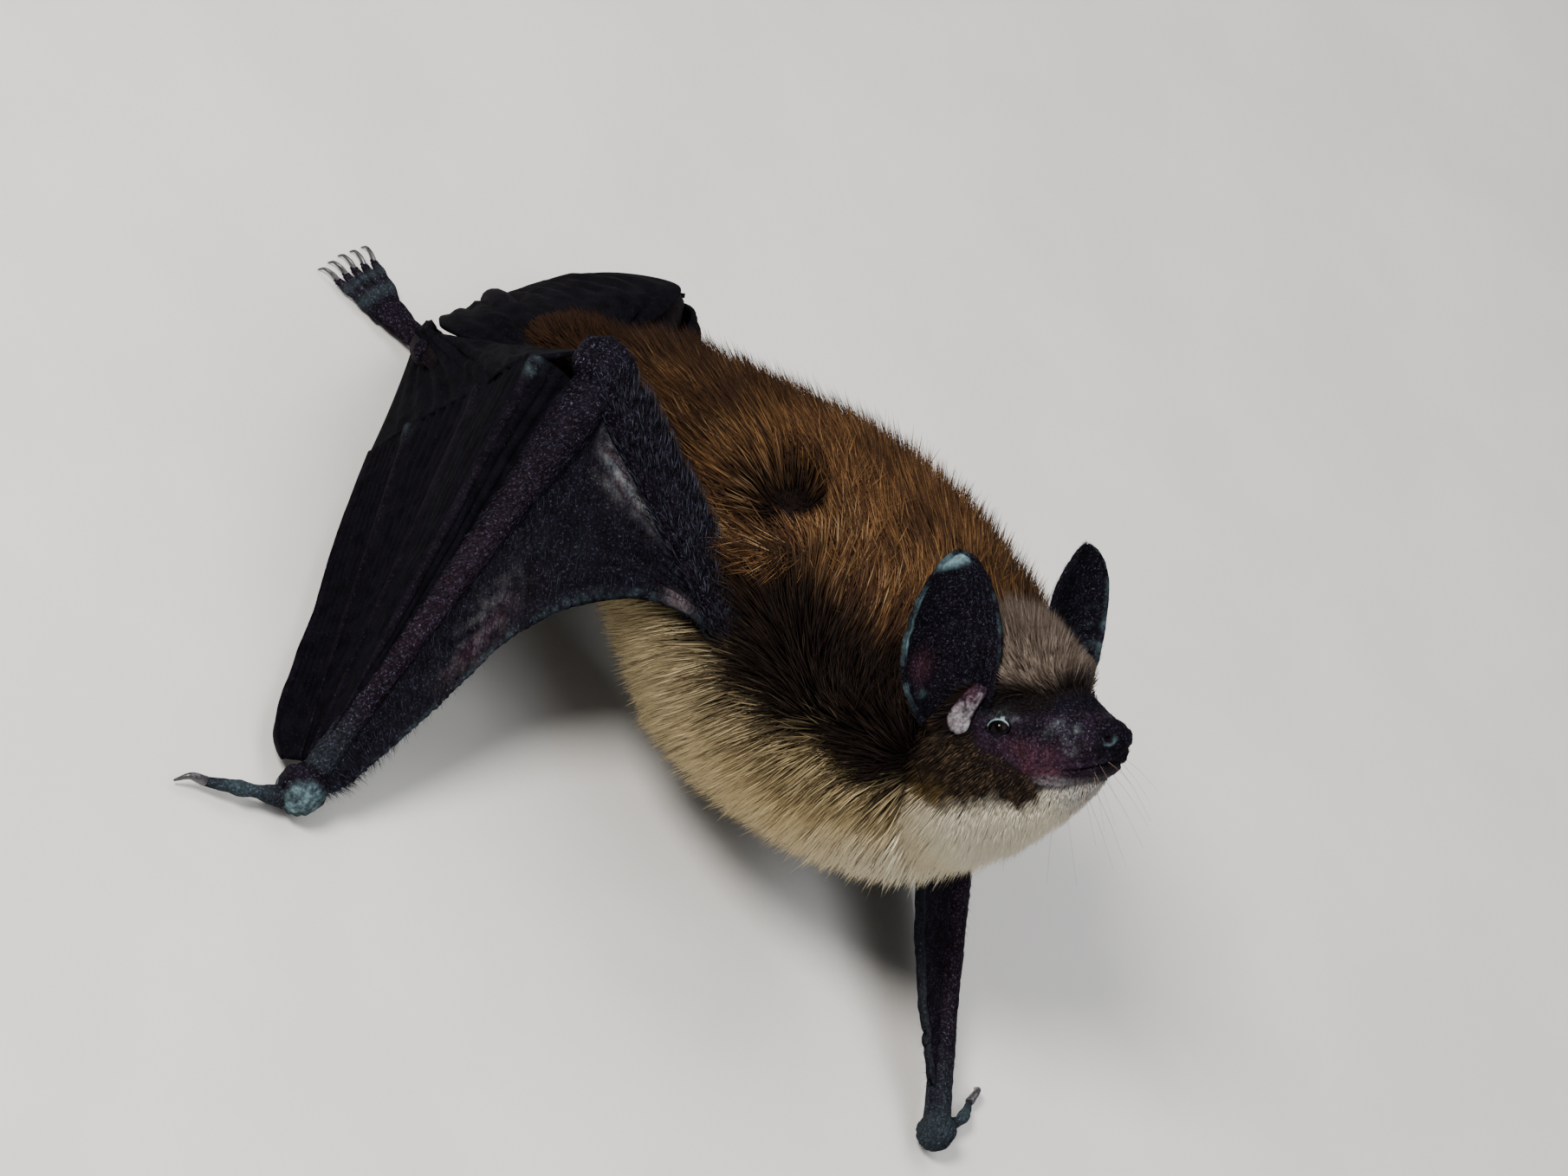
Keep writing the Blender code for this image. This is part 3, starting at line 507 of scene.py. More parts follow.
def noise(p, size, seed=1):
    """Smooth value noise from -1 to 1, with cells of the given size."""
    q = np.asarray(p, float) / size
    i = np.floor(q)
    f = q - i
    f = f * f * (3 - 2 * f)
    out = 0.0
    for a in (0, 1):
        for b in (0, 1):
            for c in (0, 1):
                w = (f[..., 0] if a else 1 - f[..., 0]) * (f[..., 1] if b else 1 - f[..., 1]) * (f[..., 2] if c else 1 - f[..., 2])
                out = out + w * lattice(i + np.array([a, b, c]), seed)
    return out


def turns(p, size, seed=1, steps=3):
    out, amp = 0.0, 1.0
    for k in range(steps):
        out = out + amp * noise(p, size / 2 ** k, seed + k * 11)
        amp *= 0.5
    return out


def mix(a, b, t):
    t = np.asarray(t, float)
    if np.ndim(t):
        t = t[..., None]
    return np.asarray(a, float) * (1 - t) + np.asarray(b, float) * t


def head_local(p):
    q = np.asarray(p, float) - NOSE
    return np.stack([q @ HEAD_X, q @ HEAD_Y, q @ HEAD_Z], -1)


def grid_normals(g, closed=False):
    if closed:
        dv = np.roll(g, -1, 1) - np.roll(g, 1, 1)
    else:
        dv = np.gradient(g, axis=1)
    n = np.cross(np.gradient(g, axis=0), dv)
    return n / np.maximum(np.linalg.norm(n, axis=-1, keepdims=True), 1e-9)


# ------------------------------------------------------------------ the skin, piece by piece, in millimetres
# each piece: vertices, faces, marks (pale teal: partly pale dry skin, partly painted highlight; rose; coat; web;
# bluish: painted glint specks; ash: pale grey skin, partly painted highlight)
PIECES = []


def piece(name, shape, pale=0.0, rose=0.0, coat=0.0, web=0.0, bluish=0.0, ash=0.0):
    vv = np.asarray(shape[0], float)
    marks = np.zeros((len(vv), 6))
    for k, m in enumerate((pale, rose, coat, web, bluish, ash)):
        marks[:, k] = m
    PIECES.append((name, vv, shape[1], np.clip(marks, 0, 1)))


TRUNK_DEPTH = [(0.0, 0.55), (0.08, 1.3), (0.22, 2.3), (0.40, 3.1), (0.60, 3.5), (0.85, 3.5), (1.0, 3.2)]


def trunk_skin(n=72, rows=90):
    s = np.linspace(0, 1, rows)
    k = curve(TRUNK, s)
    full = curve(TRUNK, np.linspace(0, 1, 201))[:, :3]
    tan = unit(np.gradient(full, axis=0))
    tan = unit(np.column_stack([np.interp(s, np.linspace(0, 1, 201), tan[:, q]) for q in range(3)]))
    side = unit(np.cross(v(0, 0, 1), tan))
    up = np.cross(tan, side)
    d = curve(TRUNK_DEPTH, s)[:, 0]
    c = k[:, :3]
    r = rings(c, side, up, k[:, 3] - d, k[:, 4] - d, k[:, 4] - d, n, 2.1)
    th = 360.0 * (np.arange(n) + 0.5) / n
    return r, s, th, tan, side, up


HEAD_DEPTH = [  # x, on top, at the side, below
    (-16.5, 3.2, 3.2, 3.2),
    (-14.0, 3.1, 2.5, 3.0),
    (-11.5, 3.0, 1.3, 2.5),
    (-10.0, 2.9, 0.75, 2.1),
    (-8.6, 2.6, 0.25, 1.8),
    (-7.2, 2.2, 0.08, 1.5),
    (-5.8, 1.6, 0.05, 1.15),
    (-4.2, 0.75, 0.03, 0.65),
    (-2.9, 0.2, 0.02, 0.28),
    (-1.9, 0.04, 0.01, 0.08),
    (-0.45, 0.0, 0.0, 0.0),
]
# mouth line on the right side, from under the nose to its corner
MOUTH = [v(-1.25, 0.0, -1.72), v(-1.40, -0.60, -1.80), v(-1.95, -1.35, -2.05), v(-2.8, -2.0, -2.30), v(-3.7, -2.5, -2.34),
         v(-4.7, -2.85, -2.18), v(-5.5, -3.05, -1.86), v(-5.95, -3.15, -1.60)]
EYE_OPEN = v(-7.62, -3.84, 0.50)
EYE_OUT = unit(v(0.464, -0.886, 0.06))
EYE_LONG = unit(np.cross(v(0, 0, 1), EYE_OUT))
EYE_UP = np.cross(EYE_OUT, EYE_LONG)
BALL_R = 0.82
BALL_AT = EYE_OPEN - EYE_OUT * 0.66


def line_gap(p, pts, n=60):
    """Distance from points to a smooth line, and where along it they are nearest."""
    c = path(pts, np.linspace(0, 1, n))
    d2 = np.full(p.shape[:-1], 1e9)
    at = np.zeros(p.shape[:-1])
    near = np.zeros(p.shape)
    for k in range(n):
        q = ((p - c[k]) ** 2).sum(-1)
        m = q < d2
        d2 = np.where(m, q, d2)
        at = np.where(m, k / (n - 1), at)
        near = np.where(m[..., None], c[k], near)
    return np.sqrt(d2), at, near


def head_skin(n=170):
    x = np.concatenate([np.linspace(-16.5, -11.2, 12), np.linspace(-10.9, -9.1, 12), np.linspace(-9.0, -6.1, 34),
                        np.linspace(-5.95, -2.9, 22), np.linspace(-2.78, -0.55, 27), [-0.45, -0.37, -0.32]])
    k = curve(HEAD, np.minimum(x, -0.45))
    shrink = np.where(x > -0.5, np.where(x > -0.40, np.where(x > -0.34, 0.25, 0.72), 0.93), 1.0)
    mid = 0.5 * (k[:, 1] + k[:, 2])
    hh = 0.5 * (k[:, 1] - k[:, 2]) * shrink
    hw = k[:, 0] * shrink
    one = np.ones((len(x), 1))
    c = np.column_stack([x, 0 * x, mid])
    r = rings(c, one * v(0, 1, 0), one * v(0, 0, 1), hw, hh, hh, n, 2.15)
    th = 2 * math.pi * (np.arange(n) + 0.5) / n
    d = curve(HEAD_DEPTH, x)
    dd = (d[:, 1:2] * np.cos(th) ** 2 + d[:, 0:1] * np.clip(np.sin(th), 0, 1) ** 2 + d[:, 2:3] * np.clip(-np.sin(th), 0, 1) ** 2)
    rad = r - c[:, None, :]
    r = c[:, None, :] + rad * (1 - dd / np.maximum(np.linalg.norm(rad, axis=-1), 0.05))[..., None]
    nrm = grid_normals(r, True)
    if (nrm[5, 0] @ v(0, 1, 0)) < 0:
        nrm = -nrm
    # the right half is drawn and the left half mirrors it
    p = r * v(1, 1, 1)
    p[..., 1] = -np.abs(p[..., 1])
    push = np.zeros(p.shape[:2])

    def swell(centre, radii, amount):
        q = (p - np.asarray(centre, float)) / np.asarray(radii, float)
        return amount * np.exp(-(q ** 2).sum(-1))

    push += swell((-3.5, -2.55, 0.0), (1.5, 1.6, 0.95), 0.30)          # swollen pad of the muzzle
    push += swell((-2.3, -1.9, -0.95), (0.75, 1.0, 0.55), 0.16)        # pad behind the nostril
    push += swell((-1.55, -1.1, -1.35), (0.6, 0.9, 0.28), 0.10)        # upper lip in front
    push -= swell((-1.95, -1.2, 0.50), (0.28, 1.3, 0.7), 0.15)         # crease behind the nose pad
    push -= swell((-1.15, -0.5, -1.10), (0.4, 0.9, 0.15), 0.26)        # notch between nose and lip
    push -= swell((-0.45, 0.0, -0.3), (0.5, 0.13, 0.6), 0.10)          # groove down the middle of the nose
    push += swell((-7.9, -3.6, 1.55), (1.1, 1.0, 0.40), 0.16)          # brow
    push += swell((-6.55, -3.3, 1.0), (0.22, 0.6, 0.20), 0.15)         # small wart in front of the eye
    push += swell((-7.4, -3.9, -0.55), (1.2, 1.0, 0.36), 0.13)         # fold under the eye
    push -= swell((-6.2, -3.3, -0.20), (1.1, 1.0, 0.20), 0.10)         # crease from the eye to the lip
    push -= swell((-5.0, -2.95, 0.75), (0.9, 1.0, 0.5), 0.12)          # hollow before the eye
    push += swell((-5.5, -2.9, -2.15), (1.3, 1.2, 0.40), 0.16)         # full lower lip near its corner
    push += swell((-1.9, -0.9, -2.5), (0.9, 1.0, 0.45), 0.12)          # chin pad
    # nostril
    nos = v(-0.98, -1.02, -0.32)
    q = np.linalg.norm((p - nos) * v(1, 1, 1.12), axis=-1)
    push += 0.12 * bell(q, 0.44, 0.13) - 0.55 * (1 - ramp(q, 0.08, 0.30))
    # mouth
    gap, at, near = line_gap(p, MOUTH)
    above = ramp(p[..., 2] - near[..., 2], -0.12, 0.12)
    open_ = 0.26 * (1 - 0.75 * ramp(at, 0.70, 1.0))
    push += -open_ * np.exp(-(gap / 0.11) ** 2) + 0.12 * bell(gap, 0.28, 0.16) * above * (at < 0.98) + 0.05 * bell(gap, 0.26, 0.14) * (1 - above)
    # eye opening: inside it the skin drops away behind the eyeball
    e = p - EYE_OPEN
    a, b, o = e @ EYE_LONG, e @ EYE_UP, e @ EYE_OUT
    rho = np.sqrt((a / 0.89) ** 2 + (b / np.where(b > 0, 0.51, 0.35)) ** 2)
    face = (np.abs(o) < 1.6)
    well = (1 - ramp(rho, 0.72, 1.02)) * face
    rim = bell(rho, 1.22, 0.20) * face
    push += 0.10 * rim
    # fine creases of the bare skin
    bare = ramp(p[..., 0], -9.5, -7.0) * (1 - ramp(p[..., 2], 2.0, 3.0))
    push += 0.035 * turns(p * v(1, 1, 1), 0.42, 5) * bare
    out = r + nrm * push[..., None]
    mirror = np.where(r[..., 1:2] > 0, -1.0, 1.0) * v(0, 1, 0) + v(1, 0, 1)
    out = out - (well * 1.25)[..., None] * (EYE_OUT * mirror)
    # marks: pale flecks painted as highlights on the muzzle pads, the wart before the eye and the brow, the paler
    # chin, and the flesh colour round the corner of the mouth
    pale = 0.0 * push
    grain = 0.55 + 0.75 * noise(p, 0.20, 9) + 0.35 * noise(p, 0.10, 10)
    for ctr, rad_, amt in (((-3.7, -2.5, 0.55), 0.40, 0.34), ((-2.6, -2.1, 0.26), 0.30, 0.30), ((-2.9, -2.3, -0.95), 0.34, 0.30),
                           ((-4.4, -2.75, 0.15), 0.32, 0.16), ((-3.3, -2.4, -0.35), 0.28, 0.14), ((-6.6, -3.35, 0.98), 0.22, 0.32),
                           ((-7.6, -3.7, 1.25), 0.62, 0.20)):
        pale += 0.42 * amt * np.exp(-(((p - v(*ctr)) / rad_) ** 2).sum(-1)) * grain
    ring = (p - nos) @ unit(v(0.55, 0.25, -0.8))
    # grey copy of the painted highlights
    grey_highlight = 1.0 * pale
    # painted highlight on one side of the nostril rim
    pale += 0.24 * bell(q, 0.44, 0.09) * ramp(ring, -0.05, 0.35)
    rose = 0.75 * np.exp(-(((p - v(-5.1, -2.95, -2.35)) / v(1.3, 2, 0.45)) ** 2).sum(-1)) + 0.30 * np.exp(-(((p - v(-5.2, -2.9, -1.3)) / v(1.9, 2, 0.7)) ** 2).sum(-1)) + 0.16 * np.exp(-(((p - v(-6.6, -3.5, -0.7)) / v(1.2, 2, 0.6)) ** 2).sum(-1))
    rose += 0.6 * (1 - ramp(q, 0.05, 0.22))
    rose *= 0.75 + 0.5 * noise(p, 0.4, 17)
    coat = np.maximum(1 - ramp(p[..., 0], -9.9, -9.0), ramp(p[..., 2], 2.0, 3.2) * (1 - ramp(p[..., 0], -4.0, -2.2)))
    bluish = (0.45 + 0.75 * np.exp(-(((p - v(-3.2, -2.3, 0.1)) / v(1.6, 2, 1.0)) ** 2).sum(-1))) * ramp(p[..., 0], -9.6, -8.2)
    # the nose and the bridge are near black; the near black along the mouth line is partly painted shade of its fold;
    # the hollow before the eye is near black
    web = 0.9 * ramp(p[..., 0], -1.9, -1.1) + 0.85 * ramp(p[..., 2], 0.9, 1.6) + 0.8 * bell(gap, 0.0, 0.16) + 0.7 * np.exp(-(((p - v(-5.6, -3.0, 0.5)) / v(1.0, 2, 0.55)) ** 2).sum(-1))
    web = np.clip(np.maximum(web, 0.9 * (1 - ramp(p[..., 0], -9.9, -8.9))), 0, 1)
    ash = 0.9 * grey_highlight + 0.30 * ramp(p[..., 2], -2.6, -3.3) * ramp(p[..., 0], -7.0, -5.0) + 0.30 * np.exp(-(((p - v(-4.7, -2.8, -2.75)) / v(0.8, 2, 0.22)) ** 2).sum(-1)) * grain
    flat = lambda m: np.concatenate([m.reshape(-1), [m[0].mean(), m[-1].mean()]])
    return out, skin(head_point(out)), dict(pale=flat(pale), rose=flat(rose), coat=flat(coat), web=flat(web), bluish=flat(bluish), ash=flat(ash)), x, th


trunk_r, TRUNK_S, TRUNK_TH, TRUNK_TAN, TRUNK_SIDE, TRUNK_UP = trunk_skin()
piece("trunk", skin(trunk_r), coat=1.0)
head_r, head_shape, head_marks, HEAD_X_ST, HEAD_TH = head_skin()
piece("head", head_shape, **head_marks)


def lid(flip):
    """Rim of the eyelids, hugging the eyeball."""
    n, m = 56, 10
    f = 2 * math.pi * np.arange(n) / n
    a = 0.90 * np.cos(f)
    b = np.where(np.sin(f) > 0, 0.52, 0.34) * np.sin(f)
    c = EYE_OPEN + a[:, None] * EYE_LONG + b[:, None] * EYE_UP
    out = unit(c - BALL_AT)
    c = BALL_AT + out * (BALL_R + 0.045)
    tan = unit(np.roll(c, -1, 0) - np.roll(c, 1, 0))
    side = unit(np.cross(tan, out))
    up = np.cross(side, tan)
    rad = np.where(np.sin(f) > 0, 0.054, 0.050)
    g = 2 * math.pi * np.arange(m) / m
    r = c[:, None, :] + rad[:, None, None] * (np.cos(g)[None, :, None] * side[:, None, :] * 1.15 + np.sin(g)[None, :, None] * up[:, None, :])
    r = head_point(r * v(1, flip, 1))
    faces = [(i * m + j, i * m + (j + 1) % m, ((i + 1) % n) * m + (j + 1) % m, ((i + 1) % n) * m + j) for i in range(n) for j in range(m)]
    if flip < 0:
        faces = [q[::-1] for q in faces]
    # the pale line along the top and front of the lid rim is a painted highlight
    pale = np.repeat(0.9 * ramp(np.sin(f), 0.15, 0.6) * (0.35 + 0.65 * ramp(np.cos(f), -0.8, 0.4)), m)
    return (r.reshape(-1, 3), faces), pale


for flip, side in ((1, "right"), (-1, "left")):
    shape, pale = lid(flip)
    piece("lid_" + side, shape, pale=pale, web=0.6, bluish=0.4, ash=0.35 * pale)


# ---- ears
def ear_skin(flip, rows=104, cols=64):
    # up to the rounded tip, which gets rows of its own
    at = np.concatenate([np.linspace(0, 0.90, rows - 12), 0.90 + 0.085 * (2 * np.sin(np.radians(np.linspace(34, 86, 12))) - 1)])
    g = ear_grid(rows, cols, flip, 0.0, at)
    n = grid_normals(g)
    b, t, a, o, w = ear_frame(flip)
    inward = head_point(o) - head_point(v(0, 0, 0))
    if (n * inward).sum(-1).mean() < 0:
        n = -n
    s = (at / 0.985)[:, None] + np.zeros((1, cols))
    j = np.linspace(-1, 1, cols)[None, :] + np.zeros((rows, 1))
    p = head_local(g)
    push = np.zeros((rows, cols))
    # cross ridges towards the rear margin, and fine rows of grain
    push += 0.05 * np.sin(s * 52 + j * 9.0 + 2.2 * noise(p, 2.0, 3)) * (ramp(j, 0.0, -0.6) * bell(s, 0.62, 0.12) if flip > 0 else ramp(j, 0.2, -0.3) * bell(s, 0.42, 0.22))
    push += 0.035 * turns(p, 0.5, 21)
    # lobe at the foot of the rear margin, fold of the front margin
    push += 0.55 * np.exp(-(((s - 0.19) / 0.10) ** 2 + ((j + 0.55) / 0.26) ** 2))
    push += 0.18 * np.exp(-(((s - 0.30) / 0.20) ** 2 + ((j - 0.80) / 0.12) ** 2))
    push -= 0.14 * np.exp(-(((s - 0.30) / 0.20) ** 2 + ((j - 0.60) / 0.10) ** 2))
    th = 0.26 + 0.07 * bell(np.abs(j), 0.98, 0.05) + 0.25 * ramp(s, 0.2, 0.0)
    g = g + n * push[..., None]
    spots = np.clip(0.45 + 0.9 * noise(p, 0.55, 31) + 0.4 * noise(p, 0.25, 32), 0, 1.2)
    rear = ramp(j, -0.86, -0.95) * (1 - 0.8 * ramp(j, -0.985, -1.0))
    front = ramp(j, 0.955, 0.985) * (1 - 0.6 * ramp(j, 0.99, 1.0))
    tip = ramp(s - 0.05 * ramp(j, -0.2, 0.6) + 0.02 * noise(p, 0.8, 5), 0.875, 0.955) * (1 - 0.9 * ramp(s, 0.982, 1.0)) * (1 - ramp(np.abs(j + 0.16), 0.62, 0.95))
    # pale along the rear and front margins, across the tip and on the edge of the lobe at the foot of the rear margin:
    # painted highlights
    pale = rear * (0.10 + 0.75 * bell(s, 0.42, 0.20) + 0.35 * bell(s, 0.78, 0.12)) * spots + 0.20 * front * ramp(s, 0.25, 0.6) * spots + 0.85 * tip * (0.75 + 0.25 * spots)
    pale += 0.22 * np.exp(-(((s - 0.155) / 0.03) ** 2 + ((j + 0.45) / 0.16) ** 2)) * spots
    rose = 0.30 * np.exp(-(((s - 0.31) / 0.10) ** 2 + ((j + 0.46) / 0.26) ** 2))
    # on the left ear the pale marks are only painted glints on the ridge crests and a painted highlight along the rear
    # margin
    if flip < 0:
        ridge_glint = np.clip(np.sin(s * 52 + j * 9.0 + 2.2 * noise(p, 2.0, 3)), 0, 1) ** 2
        pale = (0.07 * ridge_glint * ramp(j, 0.2, -0.3) * bell(s, 0.42, 0.20) + 0.10 * ramp(j, -0.88, -0.96) * ramp(s, 0.2, 0.4)) * spots
    pale = np.clip(pale, 0, 1)
    shape = sheet(g, th)
    two = lambda m: np.concatenate([m.reshape(-1), m.reshape(-1)])
    return shape, two(pale), two(rose), g, n, s, j


EARS = {}
for flip, side in ((1, "right"), (-1, "left")):
    shape, pale, rose, g, n, s, j = ear_skin(flip)
    EARS[side] = (g, n, s, j)
    piece("ear_" + side, shape, pale=pale, rose=rose * (0.8 if flip > 0 else 0.2), web=0.9, bluish=0.5)


def tragus_skin(flip, rows=34, cols=22):
    s = np.linspace(0, 1, rows)
    line = [v(-10.0, -5.35, 0.35), v(-9.35, -5.0, 1.75), v(-8.35, -4.3, 3.15)]
    c = path(line, s)
    out = unit(v(0.67, -0.74, 0.0))
    across = unit(np.cross(out, unit(line[2] - line[0])))
    half = 0.46 * (1.72 - 0.78 * s) * np.clip(0.50 + 3.2 * s, 0, 1) * np.sqrt(np.clip(1 - np.abs(2 * s - 1) ** 9, 0.05, 1))
    j = np.linspace(-1, 1, cols)
    g = c[:, None, :] + across * (j[None, :] * half[:, None])[..., None] + out * (0.16 * (1 - j[None, :] ** 2) - 0.10 + 0.02 * np.sin(9 * s)[:, None])[..., None]
    p = g.copy()
    g = g + out * (0.03 * turns(p, 0.4, 77))[..., None]
    th = 0.30 + 0 * g[..., 0]
    grain = 0.35 * noise(p * v(1.6, 1.6, 1), 0.34, 6) + 0.35 * noise(p, 0.16, 7)
    rim = 0.30 * ramp(np.abs(j), 0.70, 1.0)[None, :] + 0.25 * ramp(s, 0.12, 0.0)[:, None]
    ash = np.clip((0.52 - 0.56 * ramp(s, 0.25, 0.90))[:, None] - 0.16 * ramp(j, 0.2, 1.0)[None, :] - rim + 0.6 * grain, 0, 0.7)
    pale = np.clip(0.16 * ramp(-j, 0.2, 0.9)[None, :] * (1 - s)[:, None] + 0.3 * grain - 0.5 * rim, 0, 0.4)
    rose = np.clip(0.10 + 0.16 * ramp(s, 0.3, 0.8)[:, None] - 0.20 * ramp(s, 0.8, 1.0)[:, None] + 0.3 * grain, 0, 1)
    two = lambda m: np.concatenate([m.reshape(-1), m.reshape(-1)])
    return sheet(head_point(g * v(1, flip, 1)), th), two(pale), two(rose), two(ash)


for flip, side in ((1, "right"), (-1, "left")):
    shape, pale, rose, ash = tragus_skin(flip)
    piece("tragus_" + side, shape, pale=pale, rose=rose, bluish=0.3, ash=ash)


# ---- limbs
LIMB = {}


def limb(name, pts, radius, n=20, rows=50, wrinkle=0.05, seed=1, flat=1.0, up=(0, 0, 1), **marks):
    t = np.linspace(0, 1, rows)
    c = path(pts, t)
    tan, side, top = frames(c, up)
    r = curve(radius, t)[:, 0]
    q = rings(c, side, top, r, r * flat, r * flat, n)
    k = q - c[:, None, :]
    q = q + unit(k) * (wrinkle * turns(q, 0.55, seed))[..., None]
    LIMB[name] = (q, unit(q - c[:, None, :]))
    vv, ff = skin(q)
    out = {}
    for key, m in marks.items():
        m = m(t)[:, None] + 0 * q[..., 0] if callable(m) else m + 0 * q[..., 0]
        out[key] = np.concatenate([m.reshape(-1), [m[0, 0], m[-1, 0]]])
    vv = floor_flat(vv)
    piece(name, (vv, ff), **out)


for side, tag in (("right", "R"), ("left", "L")):
    shoulder, elbow, wrist, thumb, claw = ARMS[tag]
    f = 1.0 if tag == "R" else 0.80
    limb("upper_arm_" + side, [shoulder, elbow], [(0, 1.7), (0.6, 1.75), (0.9, 1.62), (1, 1.15)], seed=3, bluish=0.7, web=0.7)
    limb("forearm_" + side, [elbow, wrist], [(0, 1.25), (0.06, 1.55), (0.3, 1.2), (0.8, 0.86), (1, 0.95)], n=22, rows=90, seed=5, bluish=0.8,
         rose=lambda t: 0.04 * bell(t, 0.5, 0.35), pale=lambda t: 0.04 * ramp(t, 0.75, 1.0), web=lambda t: 0.75 - 0.45 * bell(t, 0.55, 0.22))
    # the pale on the thumb's knuckle is a painted highlight
    limb("thumb_" + side, thumb, [(0, 0.66 * f), (0.15, 0.70 * f), (0.5, 0.46 * f), (0.6, 0.54 * f), (0.75, 0.42 * f), (1, 0.30 * f)], n=16, rows=40, wrinkle=0.04, seed=7, bluish=0.9,
         web=0.7, pale=lambda t: 0.02 + 0.09 * bell(t, 0.6, 0.25))


def elbow_hump(centre, size, side):
    vv, ff = knob(centre, size, 40, 30)
    d = unit(vv - centre)
    push = 0.10 * turns(vv, 0.9, 18) + 0.05 * np.sin(vv @ v(0.5, 0.8, 0.2) * 9 + 2.0 * noise(vv, 0.8, 4))
    piece("elbow_" + side, (vv + d * push[:, None], ff), web=0.8, bluish=0.9)


elbow_hump(ELBOW_R + v(-0.3, 0.3, -0.2), v(2.3, 2.1, 1.9), "right")
elbow_hump(ELBOW_L + v(-0.2, -0.2, -0.2), v(1.9, 1.8, 1.7), "left")


def wrist_pad(centre, size, side):
    vv, ff = knob(centre, size, 40, 30)
    d = unit(vv - centre)
    push = 0.07 * np.sin((d[:, 0] * 0.8 + d[:, 1] * 0.6) * 20 + 1.2 * noise(vv, 0.8, 2)) + 0.05 * turns(vv, 0.5, 8)
    vv = floor_flat(vv + d * push[:, None])
    if side == "right":
        across_ = d @ unit(v(0.95, 0.10, 0.25))
        streaks_ = 0.5 + 0.5 * np.sin(across_ * 40 + 3.0 * noise(vv, 0.6, 5))
        lit_side = d @ unit(v(0.72, -0.66, 0.22)) + 0.10 * noise(vv, 0.5, 6)
        # pale streaks on the side turned towards the light, and a pale line along the lower edge: painted highlights
        pale = 0.66 * ramp(lit_side, 0.40, 0.95) * (0.30 + 0.70 * streaks_) * (0.7 + 0.5 * noise(vv, 0.25, 7))
        pale += 0.40 * bell(d @ v(0, 0, 1), -0.30, 0.06) * ramp(d @ unit(v(-0.2, -0.95, 0)), 0.2, 0.6)
    else:
        pale = 0.06 + 0 * push
    piece("wrist_" + side, (vv, ff), pale=pale, web=0.6, bluish=0.7)


wrist_pad(WRIST_R, v(1.62, 1.62, 1.85), "right")
wrist_pad(WRIST_L, v(1.25, 1.25, 1.42), "left")


# ---- wings
def wing(name, g, th, push=0.0, **marks):
    n = grid_normals(g)
    g = g + n * (np.zeros(g.shape[:2]) + push)[..., None]
    g[..., 2] = np.maximum(g[..., 2], 0.30)
    vv, ff = sheet(g, th)
    two = lambda m: np.concatenate([(m + 0 * g[..., 0]).reshape(-1)] * 2)
    piece(name, (floor_flat(vv), ff), **{k: two(m) for k, m in marks.items()})
    return g


def hand_wing(side, rows, cols):
    g, th = hand_grid(side, rows, cols)
    r = np.linspace(0.04, 1, rows)[:, None]
    j = np.linspace(0, 1, cols)[None, :]
    bone = sum(bell(j, sp, 0.020) for sp in FAN_SPANS[1:4])
    edge = bell(j, 1.0, 0.035)
    joint = bell(r, 0.985, 0.028) * sum(bell(j, sp, 0.030) for sp in FAN_SPANS[1:4])
    th = 0.34 + (0.95 - 0.35 * r) * (0.62 * bone + 0.55 * edge) + 0.35 * joint
    away = np.clip(np.min(np.abs(j[..., None] - np.array(FAN_SPANS)), axis=-1) / 0.07, 0, 1)
    pleat = 0.10 * np.sin(j * 150 + 3.0 * noise(g, 6.0, 3)) * away * ramp(r, 0.1, 0.4)
    crumple = 0.10 * turns(g, 2.0, 5) * away
    sag = -0.45 * np.sin(np.clip((j - 0.14) / 0.28, 0, 1) * math.pi) - 0.40 * np.sin(np.clip((j - 0.42) / 0.30, 0, 1) * math.pi) - 0.35 * np.sin(np.clip((j - 0.72) / 0.28, 0, 1) * math.pi)
    n = grid_normals(g)
    s = -1.0 if n[..., 2].mean() < 0 else 1.0
    push = s * (0.35 * sag * ramp(r, 0.15, 0.6)) + pleat + crumple
    # painted highlights on the knuckles at the ends of the fingers
    knuckle_glint = bell(r, 0.975, 0.020) * (bell(j, FAN_SPANS[1], 0.022) + 0.7 * bell(j, FAN_SPANS[3], 0.024) + 0.15 * bell(j, FAN_SPANS[2], 0.022))
    pale = 0.13 * knuckle_glint * np.clip(0.6 + 0.9 * noise(g, 0.35, 19), 0, 1.3)
    return wing("hand_wing_" + ("right" if side == "R" else "left"), g, th, push, pale=np.clip(pale, 0, 1), web=1.0 - 0.25 * np.clip(bone + edge, 0, 1), bluish=0.06 + 0.16 * np.clip(bone, 0, 1) + 0.3 * knuckle_glint)


HAND_R = hand_wing("R", 96, 150)
HAND_L = hand_wing("L", 60, 64)


